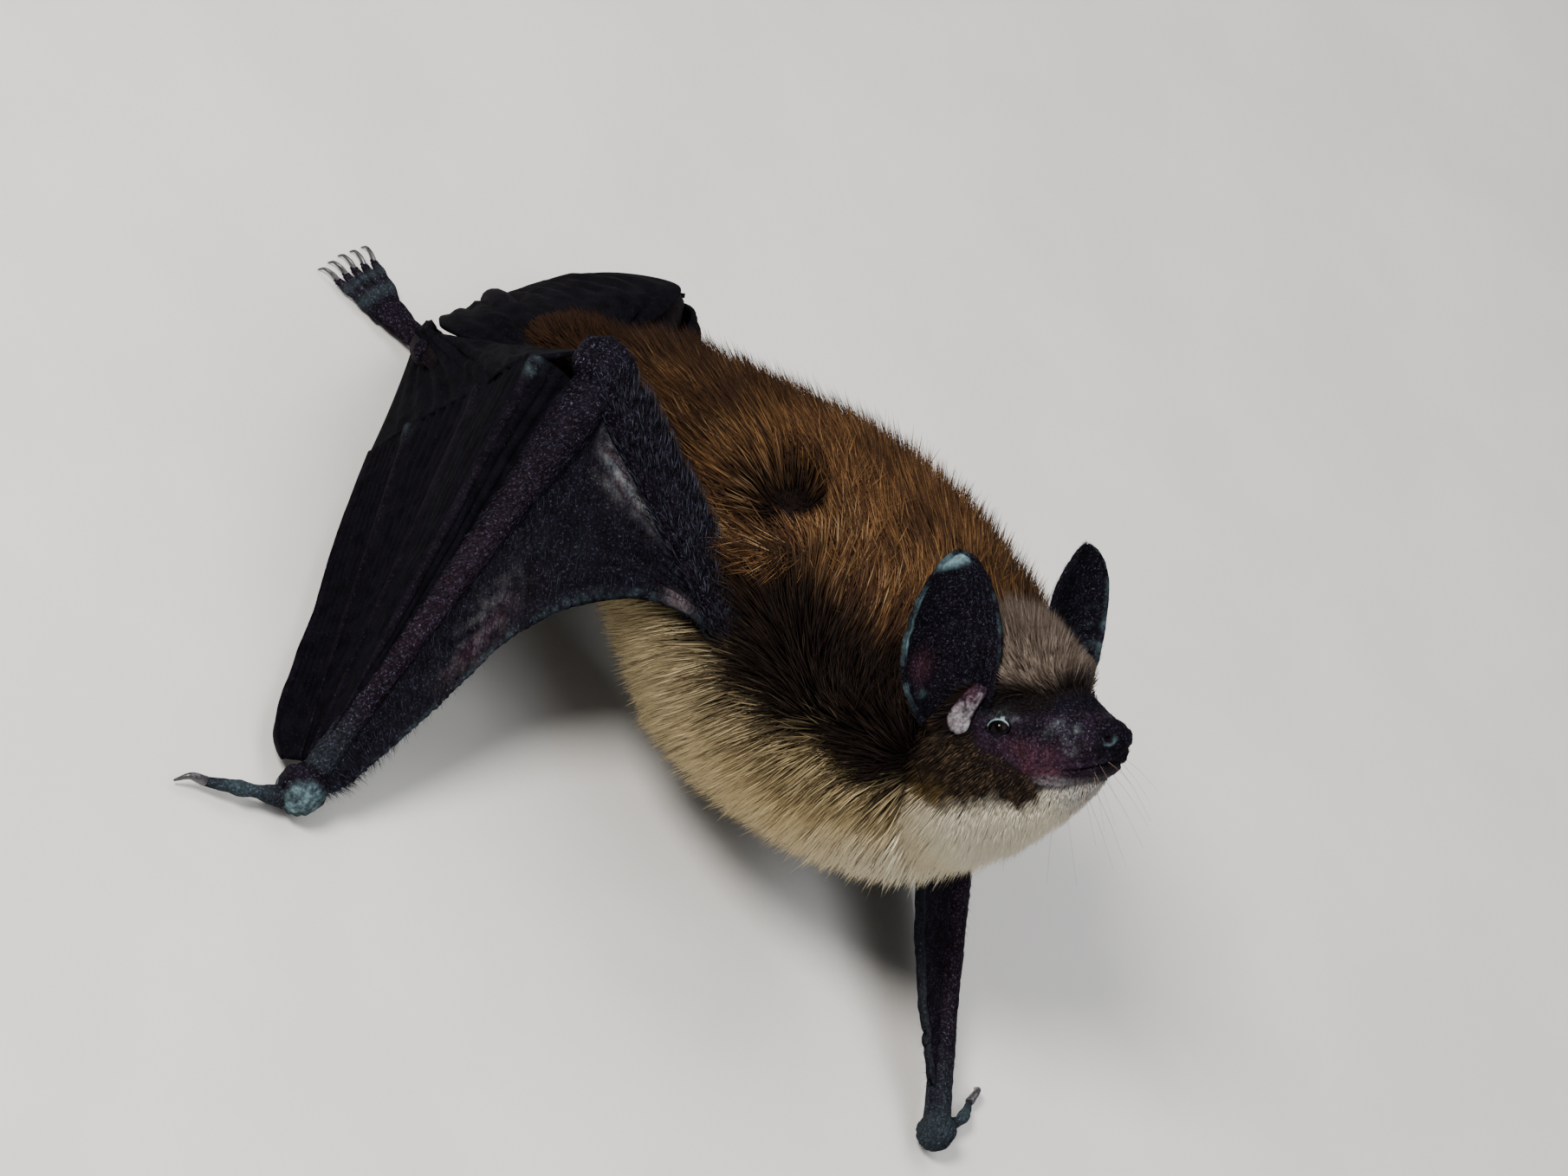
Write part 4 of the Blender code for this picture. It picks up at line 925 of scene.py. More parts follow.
def front_web(side, rows, cols):
    g, th = pro_grid(side, rows, cols)
    t = np.concatenate([np.linspace(0.03, 0.97, rows), np.linspace(0.973, 1.0, 9)])[:, None]
    j = np.linspace(0, 1, cols)[None, :]
    # the free edge runs in to the wrist
    wrist = WRIST_R if side == "R" else WRIST_L
    end = wrist + (g[-1] - g[-1, :1]) * 0.42 + v(0, 0, 0.2)
    k = np.linspace(0, 1, 10)[1:, None, None]
    g = np.concatenate([g, g[-1] * (1 - k) + end * k])
    th = 0.32 + 0.34 * bell(j, 1.0, 0.07) + 0 * t
    n = grid_normals(g)
    # fine folds that fan from the elbow to the free edge
    wander = noise(g, 3.0, 3)
    push = (0.05 * np.sin(t * 330 + 4.0 * wander) + 0.04 * np.sin(t * 190 + 5.0 * noise(g, 5.0, 4))) * ramp(j, 0.03, 0.3) * (1 - ramp(j, 0.93, 1.0)) + 0.10 * turns(g, 1.4, 15)
    hairline = np.clip(np.sin(t * 520 + 7.0 * wander + 1.5 * noise(g, 0.9, 8)) - 0.35, 0, 1) * np.clip(0.5 + 0.9 * noise(g, 1.1, 14), 0, 1.2)
    if side == "R":
        upper = 1 - ramp(t, 0.30, 0.38)
        strip = upper * bell(j, 0.22, 0.15) * ramp(t, 0.02, 0.10)
        push = push * (1 - 0.3 * upper) + 0.10 * np.sin(j * 60 + 2.0 * noise(g, 2.5, 9)) * upper * ramp(j, 0.05, 0.2)
        groove = 0.5 + 0.5 * np.sin(j * 60 + 2.0 * noise(g, 2.5, 9) + 1.0)
        cracks = np.clip(1.2 * np.abs(noise(g * v(1, 1, 1), 0.9, 12)) * 3.0, 0, 1)
        # the pale and ash-grey streaks on the strip by the upper arm, the ash-grey patches further out and the pale
        # line along the free edge are painted highlights
        pale = 0.26 * strip * (0.25 + 0.75 * groove) * cracks + 0.06 * bell(j, 0.975, 0.03) * np.clip(0.4 + 1.1 * noise(g, 0.3, 13), 0, 1.2) + 0.02 * hairline
        rose = 0.30 * strip + 0.34 * bell(t, 0.115, 0.03) * ramp(j, 0.74, 0.86) * (1 - ramp(j, 0.95, 1.0)) + 0.14 * bell(t, 0.60, 0.10) * bell(j, 0.80, 0.10)
        ash = 0.50 * strip * (0.2 + 0.8 * groove) * np.clip(0.4 + 0.9 * noise(g, 0.5, 16), 0, 1) + 0.10 * bell(t, 0.60, 0.09) * bell(j, 0.70, 0.22) * np.clip(0.5 + 1.2 * noise(g * v(1, 1, 1), 0.45, 17), 0, 1) + 0.22 * bell(t, 0.115, 0.03) * ramp(j, 0.74, 0.86) * (1 - ramp(j, 0.95, 1.0))
    else:
        pale, rose, ash = 0.04 * bell(j, 0.97, 0.04) + 0.02 * hairline, 0.02, 0.0
    return wing("front_web_" + ("right" if side == "R" else "left"), g, th, push, pale=np.clip(pale, 0, 1), rose=rose, ash=ash, web=0.93, bluish=0.42)


PRO_RG = front_web("R", 130, 46)
PRO_LG = front_web("L", 90, 26)


def side_web(name, g, seed, way=1):
    p = g
    i = np.linspace(0, 1, g.shape[0])[:, None]
    j = np.linspace(0, 1, g.shape[1])[None, :]
    fade = np.clip(4 * j * (1 - j) * 2.2, 0, 1) * np.clip(4 * i * (1 - i) * 3, 0, 1)
    push = (0.16 * np.sin(j * 60 * way + 2.5 * noise(p, 4.0, seed)) + 0.14 * turns(p, 1.8, seed + 3)) * fade
    return wing(name, g, 0.34, push, web=1.0, bluish=0.12)


side_web("side_web_right", plagio_grid("R", 40, 56)[0], 41)
side_web("side_web_left", plagio_grid("L", 44, 56)[0], 51)
flank_g = flank_grid(30, 18)[0]
flank_g = flank_g[:, :1] + (flank_g - flank_g[:, :1]) * (0.18 + 0.82 * ramp(np.linspace(0, 1, 30), 0.40, 0.95))[:, None, None]
side_web("flank_web_right", flank_g, 61)
side_web("tail_web", uro_grid(34, 54)[0], 71)

# ---- hind legs and tail
for side, (hip, knee, ankle, toes) in (("right", (HIP_R, KNEE_R, ANKLE_R, TOES_R)), ("left", (HIP_L, KNEE_L, ANKLE_L, TOES_L))):
    limb("thigh_" + side, [hip, knee], [(0, 1.9), (0.9, 1.15), (1, 0.8)], n=16, rows=24, seed=11, bluish=0.3, coat=0.5, web=0.5)
    limb("shin_" + side, [knee, ankle], [(0, 0.8), (0.08, 1.05), (0.8, 0.72), (1, 0.75)], n=16, rows=34, seed=13, bluish=0.5, web=0.6)
limb("tail", TAIL, [(0, 1.1), (0.3, 0.75), (0.7, 0.55), (0.95, 0.40), (1, 0.25)], n=14, rows=90, wrinkle=0.02, seed=15, bluish=0.3, web=0.7)

TOE_CLAWS = []


def foot(side, ankle, toes, spread=3.4):
    d = toes - ankle
    L = np.linalg.norm(d[:2])
    d = unit(v(d[0], d[1], 0))
    w = v(-d[1], d[0], 0)
    base = ankle * v(1, 1, 0)

    def at(r, j, h):
        half = 0.75 + (spread - 0.75) * r ** 1.3
        return base + d * (L * r) + w * (j * half) + v(0, 0, h)

    # sole
    pts = [ankle + v(0, 0, -0.4), at(0.16, 0, 1.25), at(0.34, 0, 0.95), at(0.50, 0, 0.75)]
    t = np.linspace(0, 1, 26)
    c = path(pts, t)
    tan, sd, top = frames(c, (0, 0, 1))
    half = curve([(0, 0.85), (0.35, 0.95), (0.8, 1.55), (1, 1.45)], t)[:, 0]
    tall = curve([(0, 0.85), (0.4, 0.75), (0.8, 0.55), (1, 0.40)], t)[:, 0]
    q = rings(c, sd, top, half, tall, tall, 26)
    q = q + unit(q - c[:, None]) * (0.05 * turns(q, 0.5, 91))[..., None]
    vv, ff = skin(q)
    piece("sole_" + side, (floor_flat(vv), ff), bluish=0.6, web=0.5)
    for k, j in enumerate((-0.8, -0.4, 0.0, 0.4, 0.8)):
        r0, r1 = 0.40, 0.86 - 0.03 * abs(j)
        pts = [at(r0, j * 0.9, 0.62), at(r0 + 0.16, j, 0.78), at(r0 + 0.30, j, 0.66), at(r1, j, 0.52)]
        t = np.linspace(0, 1, 30)
        c = path(pts, t)
        tan, sd, top = frames(c, (0, 0, 1))
        rad = 0.40 + 0.10 * bell(t, 0.38, 0.10) + 0.09 * bell(t, 0.72, 0.09) - 0.13 * t
        rad = rad * np.where(t > 0.96, 0.7, 1.0)
        q = rings(c, sd, top, rad, rad, rad, 14)
        q = q + unit(q - c[:, None]) * (0.025 * turns(q, 0.3, 92 + k))[..., None]
        vv, ff = skin(q)
        # painted highlights on the two knuckles of each toe
        pale = 0.07 * bell(t, 0.38, 0.12) + 0.06 * bell(t, 0.72, 0.10)
        pale = np.concatenate([np.repeat(pale, 14), [0, 0]])
        piece("toe_%s_%d" % (side, k), (floor_flat(vv), ff), bluish=0.65, web=0.4, pale=pale)
        TOE_CLAWS.append([at(r1 - 0.04, j, 0.55), at(r1 + 0.05, j, 0.66), at(r1 + 0.11, j, 0.50), at(r1 + 0.135, j, 0.10)])


def leg_web(side, knee, ankle):
    """Strip of web over the shin, where the side web and the tail web meet."""
    t = np.linspace(0.05, 0.97, 30)[:, None, None]
    j = np.linspace(-1, 1, 12)[None, :, None]
    d = unit(ankle - knee)
    across = unit(v(-d[1], d[0], 0))
    g = knee * (1 - t) + ankle * t + across * j * (1.5 - 0.35 * t) + v(0, 0, 1) * (0.85 - 0.35 * np.abs(j))
    wing("leg_web_" + side, g, 0.34, 0.07 * turns(g, 1.2, 81), web=1.0, bluish=0.1)


leg_web("right", KNEE_R, ANKLE_R)
leg_web("left", KNEE_L, ANKLE_L)
foot("right", ANKLE_R, TOES_R)
foot("left", ANKLE_L, TOES_L)


# ------------------------------------------------------------------ one skin out of the pieces
def raw_object(name, verts, faces):
    mesh = bpy.data.meshes.new(name)
    mesh.from_pydata([tuple(q) for q in verts], [], [tuple(int(i) for i in f) for f in faces])
    ob = bpy.data.objects.new(name, mesh)
    bpy.context.scene.collection.objects.link(ob)
    return ob


def closed_object(name, verts, faces):
    ob = raw_object(name, verts, faces)
    bm = bmesh.new()
    bm.from_mesh(ob.data)
    bmesh.ops.remove_doubles(bm, verts=bm.verts, dist=1e-5)
    bmesh.ops.dissolve_degenerate(bm, edges=bm.edges, dist=1e-5)
    bmesh.ops.triangulate(bm, faces=bm.faces)
    bmesh.ops.recalc_face_normals(bm, faces=bm.faces)
    if bm.calc_volume(signed=True) < 0:
        bmesh.ops.reverse_faces(bm, faces=bm.faces)
    bm.to_mesh(ob.data)
    bm.free()
    return ob


def drop(ob):
    mesh = ob.data
    bpy.data.objects.remove(ob)
    bpy.data.meshes.remove(mesh)


def union(target, tool):
    """Adds tool to target; returns whether it worked."""
    before = len(target.data.polygons) + len(tool.data.polygons)
    mod = target.modifiers.new("join", "BOOLEAN")
    mod.operation = "UNION"
    mod.solver = "MANIFOLD"
    mod.object = tool
    deps = bpy.context.evaluated_depsgraph_get()
    mesh = bpy.data.meshes.new_from_object(target.evaluated_get(deps))
    target.modifiers.clear()
    if len(mesh.polygons) < 0.5 * before:
        bpy.data.meshes.remove(mesh)
        return False
    old = target.data
    target.data = mesh
    bpy.data.meshes.remove(old)
    return True


def coords(mesh):
    co = np.zeros(len(mesh.vertices) * 3)
    mesh.vertices.foreach_get("co", co)
    return co.reshape(-1, 3)


def set_mark(mesh, name, values):
    a = mesh.attributes.new(name, "FLOAT", "POINT")
    a.data.foreach_set("value", np.asarray(values, np.float32))


skin_ob = None
loose = []
for name, vv, ff, marks in sorted(PIECES, key=lambda q: (q[0] not in ("trunk",), q[0] not in ("head",), len(q[1]))):
    ob = closed_object(name, vv, ff)
    if skin_ob is None:
        skin_ob = ob
        continue
    if union(skin_ob, ob):
        drop(ob)
    else:
        print("not joined", name)
        loose.append(ob)
if loose:
    with bpy.context.temp_override(active_object=skin_ob, selected_editable_objects=[skin_ob] + loose):
        bpy.ops.object.join()

tree = KDTree(sum(len(q[1]) for q in PIECES))
ALL_MARKS = np.concatenate([q[3] for q in PIECES])
k = 0
for name, vv, ff, marks in PIECES:
    for q in vv:
        tree.insert(q, k)
        k += 1
tree.balance()
skin_co = coords(skin_ob.data)
near = np.array([tree.find(q)[1] for q in skin_co])
SKIN_MARKS = ALL_MARKS[near]
for k, name in enumerate(("pale", "rose", "coat", "web", "bluish", "ash")):
    set_mark(skin_ob.data, name, SKIN_MARKS[:, k])
for q, p in zip(skin_ob.data.vertices, to_row(skin_co)):
    q.co = p
skin_ob.name = "skin"
skin_ob.data.name = "skin"
skin_ob.data.shade_smooth()
print("skin triangles", sum(len(p.vertices) - 2 for p in skin_ob.data.polygons))


# ------------------------------------------------------------------ the coat
def soup(names):
    """One search tree over some pieces."""
    verts, faces, k = [], [], 0
    for name, vv, ff, marks in PIECES:
        if any(name.startswith(q) for q in names):
            verts += [tuple(p) for p in vv]
            for f in ff:
                f = [int(i) + k for i in f]
                faces += [(f[0], f[i], f[i + 1]) for i in range(1, len(f) - 1)]
            k += len(vv)
    return BVHTree.FromPolygons(verts, faces, all_triangles=True)


BARE_TREE = soup(["upper_arm", "elbow", "leg_web", "forearm", "hand_wing", "front_web", "side_web", "flank_web", "ear_", "tragus", "wrist", "thigh", "shin"])
TRUNK_TREE = soup(["trunk"])
HEAD_TREE = soup(["head"])


def sample_rings(r, nrm, count, weight, rng):
    """Roots spread evenly over a skin of rings: point, normal, row and column position."""
    a, b = r[:-1], r[1:]
    a2, b2 = np.roll(a, -1, 1), np.roll(b, -1, 1)
    area = np.linalg.norm(np.cross(a2 - a, b - a), axis=-1) * 0.5 + np.linalg.norm(np.cross(b2 - b, b2 - a2), axis=-1) * 0.5
    w = area * weight
    total = w.sum()
    cum = np.cumsum(w.reshape(-1)) / total
    pick = np.searchsorted(cum, (np.arange(count) + rng.random(count)) / count)
    pick = np.minimum(pick, len(cum) - 1)
    n = r.shape[1]
    i, j = pick // n, pick % n
    u, t = rng.random(count), rng.random(count)
    j2 = (j + 1) % n
    f = lambda g: (g[i, j] * ((1 - u) * (1 - t))[:, None] + g[i, j2] * ((1 - u) * t)[:, None] + g[i + 1, j] * (u * (1 - t))[:, None] + g[i + 1, j2] * (u * t)[:, None])
    return f(r), unit(f(nrm)), i + u, j + t


def outward(r, n):
    c = r.mean(1, keepdims=True)
    return n if ((r - c) * n).sum(-1).mean() > 0 else -n


def fold_angle(th):
    """Angle from the middle of the back: 0 on top, 180 below, the same on both sides."""
    return np.abs((th - 90.0 + 180.0) % 360.0 - 180.0)


WHORL = v(13.5, -7.1, 29.2)
BELLY_LINE = [(0.0, 100), (0.3, 90), (0.5, 82), (0.64, 78), (0.75, 83), (0.84, 89), (0.93, 101), (1.0, 106)]
THROAT_LINE = [(-16.5, 74), (-12.5, 70), (-9.0, 54), (-5.85, 42), (-4.0, 60), (-2.5, 60), (0.0, 30)]

BODY_BLACK = v(0.0034, 0.0022, 0.0020)
BODY_DARK = v(0.012, 0.0068, 0.0046)
BODY_BROWN = v(0.036, 0.0195, 0.0115)
BODY_RUST = v(0.082, 0.037, 0.0165)
BODY_GOLD = v(0.265, 0.140, 0.053)
BODY_PALE = v(0.42, 0.29, 0.155)
CREAM = v(0.62, 0.505, 0.285)
YELLOW = v(0.56, 0.39, 0.12)
WHITE = v(0.72, 0.685, 0.55)
GREY = v(0.17, 0.125, 0.095)


class Coat:
    def __init__(self):
        self.rows = []

    def add(self, **k):
        self.rows.append(k)


def bend(root, nrm, lie, length, rise0, rise1, t):
    """Centre of each tuft at t: it leaves the skin at rise0 and ends at rise1 above the lie."""
    a0 = nrm * np.sin(rise0)[:, None] + lie * np.cos(rise0)[:, None]
    a1 = nrm * np.sin(rise1)[:, None] + lie * np.cos(rise1)[:, None]
    return root + length[:, None] * (a0 * t + (a1 - a0) * (0.5 * t * t))


def grow(root, nrm, lie, length, rise0, rise1, width, clump, clump_pull, rng):
    """Centres of the tufts at four stations, drawn together in locks."""
    ts = np.array([0.0, 0.36, 0.72, 1.0])
    c = np.stack([bend(root, nrm, lie, length, rise0, rise1, t) for t in ts], 1)
    # locks: tufts lean to the middle one of their cell
    key = np.floor(root / clump + 0.35 * noise(root, 1.7, 3)[:, None]).astype(np.int64)
    code = key[:, 0] * 1000003 + key[:, 1] * 10007 + key[:, 2]
    _, inv, cnt = np.unique(code, return_inverse=True, return_counts=True)
    tip = np.zeros((len(cnt), 4, 3))
    for q in range(4):
        for d in range(3):
            tip[:, q, d] = np.bincount(inv, c[:, q, d], len(cnt)) / cnt
    pull = clump_pull[:, None] * (ts ** 1.3)[None, :] * rng.uniform(0.75, 1.05, (len(root), 1))
    mid = tip[inv]
    c = c * (1 - pull[..., None]) + mid * pull[..., None]
    lock = (np.abs(lattice(np.stack([code, code * 0 + 5, code * 0 + 9], -1), 77)))
    return c, inv, lock


coat = Coat()
rng = np.random.default_rng(7)
SCALE = 1.0

# ---- trunk
n_body = int(92000 * SCALE)
tn = outward(trunk_r, grid_normals(trunk_r, True))
root, nrm, ri, ci = sample_rings(trunk_r, tn, n_body, 1.0, rng)
S = ri / (len(TRUNK_S) - 1)
TH = (ci / trunk_r.shape[1] * 360.0 + 180.0 / trunk_r.shape[1]) % 360.0
PHI = fold_angle(TH)
right = (TH > 90) & (TH < 270)
tan_at = np.stack([np.interp(S, TRUNK_S, TRUNK_TAN[:, q]) for q in range(3)], -1)
rough = 9.0 * turns(root, 3.2, 21) + 4.0 * noise(root, 0.7, 23)
line = curve(BELLY_LINE, S)[:, 0]
belly = ramp(PHI - line + rough, -4.0, 7.0)
flankf = ramp(S, 0.60, 0.74) * bell(PHI, line - 30, 26) * (1 - belly)
w0 = root + nrm * 2.6 - WHORL
wr = np.linalg.norm(w0 - nrm * (w0 * nrm).sum(-1, keepdims=True), axis=-1)
back = -tan_at
zup = v(0, 0, 1)
amount_z = (1 - belly) * (-0.55 * (1 - flankf) + 1.7 * flankf) + belly * (-1.7)
amount_b = (1 - belly) * (1.0 - 0.1 * flankf) + belly * (0.55 - 0.95 * ramp(S, 0.78, 1.0))
V = back * amount_b[:, None] + zup * amount_z[:, None]
out_w = unit(w0 - nrm * (w0 * nrm).sum(-1, keepdims=True) + 1e-6)
near_w = (np.exp(-(wr / 4.1) ** 4) * (1 - belly))[:, None]
V = V * (1 - 0.92 * near_w) + out_w * 1.6 * near_w
V = V + 0.55 * (1 - 0.6 * near_w) * np.stack([turns(root, 2.8, 31, 4), turns(root, 2.8, 32, 4), turns(root, 2.8, 33, 4)], -1)
V = V + 0.34 * rng.normal(size=V.shape)
lie = unit(V - nrm * (V * nrm).sum(-1, keepdims=True))
depth = curve(TRUNK_DEPTH, S)[:, 0]
hole = np.exp(-(wr / 2.6) ** 4) * (1 - belly)
length = depth * rng.uniform(1.10, 1.85, n_body) * (1 - 0.86 * hole)
rear_belly = belly * bell(S, 0.48, 0.14)
length *= 1 - 0.25 * rear_belly
rise0 = np.radians(rng.normal(54, 8, n_body) + 4 * belly + 14 * hole)
rise1 = np.radians(rng.normal(21, 11, n_body) + 6 * belly + 10 * hole)
width = rng.uniform(0.070, 0.125, n_body) * (1 + 0.10 * belly)
centres, lock_id, lock = grow(root - nrm * 0.15, nrm, lie, length, rise0, rise1, width, 0.50, 0.46 + 0.16 * belly, rng)
u01, u02 = rng.random(n_body), rng.random(n_body)
# the parting on the back is a round pit that opens up, outwards and to the right
pit_way = unit(v(0.147, -0.785, 0.602))
q = 0.5 * (centres[:, 2] + centres[:, 3]) - WHORL
pit = np.exp(-(np.linalg.norm(q - (q @ pit_way)[:, None] * pit_way, axis=-1) / 1.95) ** 4) * (1 - belly)
centres = centres[:, :1] + (centres - centres[:, :1]) * (1 - 0.5 * pit)[:, None, None]
patchy = np.clip(0.42 + 0.80 * turns(root, 2.6, 43) + 0.45 * noise(root, 0.9, 45), 0, 1)
golden = ramp(S, 0.26, 0.50) * (1 - ramp(PHI, line - 34, line - 8)) * (0.22 + 0.78 * patchy)
golden = np.clip(golden + 0.9 * np.exp(-((wr - 3.9) / 1.3) ** 2) * (PHI < 80), 0, 1.0)
golden = np.clip(golden + 0.8 * bell(S, 0.90, 0.07) * bell(PHI, 16, 16), 0, 1)
golden *= np.where(right | (PHI < 25), 1.0, 0.7)
share = np.clip(golden * (0.08 + 1.10 * lock), 0, 1)                # how many of the tips are golden here
gold_tip = ramp(share - u01, -0.10, 0.12)
tip_col = mix(BODY_BROWN, BODY_RUST, np.clip(0.10 + 0.7 * lock * (0.4 + 0.6 * golden), 0, 1))
tip_col = tip_col * (0.65 + 0.7 * u02)[:, None]
bright = mix(mix(BODY_RUST, BODY_GOLD, u02), BODY_PALE, 0.75 * ramp(lock * u02, 0.42, 0.90) * ramp(PHI, 12, 40))
tip_col = mix(tip_col, bright, gold_tip)
darkband = np.clip(ramp(PHI, line - 37, line - 18) * ramp(S, 0.58, 0.74) * (1 - belly) + ramp(PHI, line - 14, line - 4) * (1 - belly) * 0.45 + 0.85 * ramp(S, 0.84, 0.96) * ramp(PHI, line - 52, line - 30) * (1 - belly), 0, 1)
tip_col = mix(tip_col, mix(BODY_BLACK, BODY_BROWN, 0.04 + 0.7 * (u01 > 0.92)), darkband * 0.97)
tip_col = mix(tip_col, BODY_BLACK, 0.97 * np.maximum(hole, pit))
rear = 1 - ramp(S, 0.20, 0.42)
tip_col = mix(tip_col, mix(BODY_DARK, v(0.070, 0.030, 0.013), u02), 0.75 * rear * (1 - belly))
yel = ramp(S, 0.72, 0.9) * (1 - ramp(PHI, line + 10, line + 36))
cream = mix(CREAM, YELLOW, 0.7 * yel * u02)
cream = mix(cream, WHITE, ramp(S, 0.86, 1.0) * ramp(PHI, line + 8, line + 34) * 0.8)
cream = mix(cream, v(0.32, 0.245, 0.135), 0.52 * u01)
cream = mix(cream, v(0.085, 0.062, 0.038), 0.8 * (u01 > 0.88))
edge = belly * (1 - ramp(PHI, line + 4, line + 26))
cream = mix(cream, BODY_DARK, 0.85 * edge * (u02 > 0.62))
tip_col = mix(tip_col, cream, belly)
root_col = mix(mix(BODY_BLACK, BODY_DARK, 0.6 * u01), v(0.020, 0.013, 0.010), belly)
# how far up the hair the dark base reaches
dark_to = (0.56 + 0.12 * (1 - golden)) * (1 - belly) + belly * (0.28 + 0.28 * edge)
coat.add(c=centres, nrm=nrm, lie=lie, width=width, root=root_col, tip=tip_col, dark=dark_to, u=0.02 + 0.60 * S, w=0.02 + 0.96 * TH / 360.0, kind=np.zeros(n_body, int))

# ---- head
n_head = int(40000 * SCALE)
hn = outward(head_r, grid_normals(head_r, True))
hm = 0.5 * (head_r[:-1] + head_r[1:])
dens = np.where(hm[..., 0] < -12.0, 0.55, 1.0)
zc, yc = hm[..., 2], np.abs(hm[..., 1])
# bare face: around the eye, the side of the muzzle and the nose
low_edge = curve([(-10.0, 0.5), (-9.0, -0.35), (-8.3, -0.75), (-7.5, -1.20), (-6.5, -2.0), (-5.5, -3.1), (-4.4, -3.3), (-3.0, -3.1), (0.0, -2.6)], np.clip(hm[..., 0], -10, 0).reshape(-1))[:, 0].reshape(zc.shape)
bare_w = ramp(hm[..., 0], -9.5, -8.7) * (1 - ramp(zc, 1.2, 1.9)) * ramp(zc, low_edge - 0.3, low_edge + 0.3)
bare_w = np.maximum(bare_w, ramp(hm[..., 0], -4.7, -3.9) * ramp(zc, -3.2, -2.8))
# and the hollow of the ear round the tragus
bare_w = np.maximum(bare_w, ramp(hm[..., 0], -11.6, -11.0) * (1 - ramp(hm[..., 0], -8.9, -8.3)) * ramp(zc, 0.2, 0.7) * (1 - ramp(zc, 3.9, 4.6)) * ramp(yc, 3.1, 3.6))
dens = dens * (1 - 0.985 * bare_w)
root, nrm, ri, ci = sample_rings(head_r, hn, n_head, dens, rng)
TH = (ci / head_r.shape[1] * 360.0 + 180.0 / head_r.shape[1]) % 360.0
PHI = fold_angle(TH)
X, Y, Z = root[:, 0], np.abs(root[:, 1]), root[:, 2]
u01 = rng.random(n_head)
dd = curve(HEAD_DEPTH, X)
th = np.radians(TH)
depth = dd[:, 1] * np.cos(th) ** 2 + dd[:, 0] * np.clip(np.sin(th), 0, 1) ** 2 + dd[:, 2] * np.clip(-np.sin(th), 0, 1) ** 2
psi = 180.0 - PHI
throat = ramp(curve(THROAT_LINE, X)[:, 0] - psi + 7 * turns(root, 1.6, 51) + 3 * noise(root, 0.4, 53), -5.0, 8.0)
crown = ramp(Z, 2.1, 3.3) * (1 - throat)
V = v(-1.0, 0, 0) + (crown * 0.35)[:, None] * v(0, 0, 1) + ((1 - crown) * 0.75 * ramp(X, -3.0, -7.0))[:, None] * v(0, 0, -1) + (throat * 0.5)[:, None] * v(0.25, 0, -1.0)
V = V + 0.42 * np.stack([turns(root, 1.3, 61), turns(root, 1.3, 62), turns(root, 1.3, 63)], -1) + (0.28 + 0.22 * crown)[:, None] * rng.normal(size=V.shape)
lie = unit(V - nrm * (V * nrm).sum(-1, keepdims=True))
length = np.clip(depth, 0.16, 3.4) * rng.uniform(1.05, 1.50, n_head) * (1 + 0.25 * throat)
length = np.where(depth < 0.5, np.clip(length, 0.30, 0.75), length)
length = np.where((crown > 0.3) & (X > -9.0), np.maximum(length * 1.22, 1.9), length)
brow = crown * ramp(X, -10.0, -7.5)
rise0 = np.radians(rng.normal(54, 8, n_head) + 16 * crown + 6 * brow)
rise1 = np.radians(rng.normal(26, 10, n_head) + 26 * crown + 12 * brow + 9 * crown * rng.normal(size=n_head) + 12 * throat)
width = rng.uniform(0.050, 0.090, n_head) * (0.6 + 0.4 * ramp(depth, 0.2, 1.2))
flatr = head_point(root)
rot = lambda q: q[:, :1] * HEAD_X + q[:, 1:2] * HEAD_Y + q[:, 2:3] * HEAD_Z
nrm_w, lie_w = rot(nrm), rot(lie)
centres, lock_id, lock = grow(flatr - nrm_w * 0.06, nrm_w, lie_w, length, rise0, rise1, width, 0.36, 0.44 + 0.1 * throat, rng)
u02 = rng.random(n_head)
tip_at = head_local(0.5 * (centres[:, 2] + centres[:, 3]))
grey_t = mix(GREY * 0.30, v(0.215, 0.170, 0.138), np.clip(1.25 * u01 ** 1.9 * (0.30 + 0.9 * lock + 0.8 * noise(root, 0.42, 59)), 0, 1))
browny = mix(BODY_BROWN, v(0.16, 0.085, 0.036), np.clip(lock * (0.3 + u01), 0, 1))
tip_col = mix(browny, grey_t, ramp(X + 0.8 * noise(root, 1.2, 57), -13.0, -10.5) * np.maximum(crown, ramp(X, -9.5, -8.5)))
band_top = np.interp(tip_at[:, 0], [-9.5, -8.2, -6.0, -4.5, -3.2], [3.7, 3.75, 3.35, 2.9, 2.3]) + 0.30 * noise(root, 0.8, 58) + 0.25 * (u02 - 0.5)
black_band = ramp(X, -9.8, -9.0) * (1 - ramp(tip_at[:, 2] - band_top, -0.3, 0.5)) * ramp(Z, 0.6, 1.1)
tip_col = mix(tip_col, v(0.0075, 0.0055, 0.006), black_band * 0.95)
low = (1 - crown) * (1 - throat)
cheek = low * ramp(Z, 1.2, 0.2)
tip_col = mix(tip_col, mix(v(0.012, 0.0085, 0.0065), v(0.17, 0.112, 0.068), np.clip(-0.16 + 0.95 * (u01 ** 4) + 0.30 * noise(root, 0.6, 60), 0, 1)), cheek)
rust = cheek * np.exp(-(((X + 12.6) / 1.3) ** 2 + ((Z + 3.6) / 1.3) ** 2)) * (u02 > 0.45)
tip_col = mix(tip_col, v(0.42, 0.27, 0.075), 0.8 * rust)
tip_col = mix(tip_col, v(0.006, 0.004, 0.004), ramp(X, -11.8, -11.2) * ramp(Z, 0.2, 0.8) * ramp(Y, 3.0, 3.5) * (1 - ramp(X, -8.6, -8.0)))
tip_col = mix(tip_col, v(0.010, 0.0065, 0.0055), low * (1 - ramp(X, -13.5, -10.5)) * ramp(Z, -2.5, 0.0) * 0.9)
white = mix(WHITE, CREAM, (1 - ramp(X, -14.0, -10.0)) * 0.6)
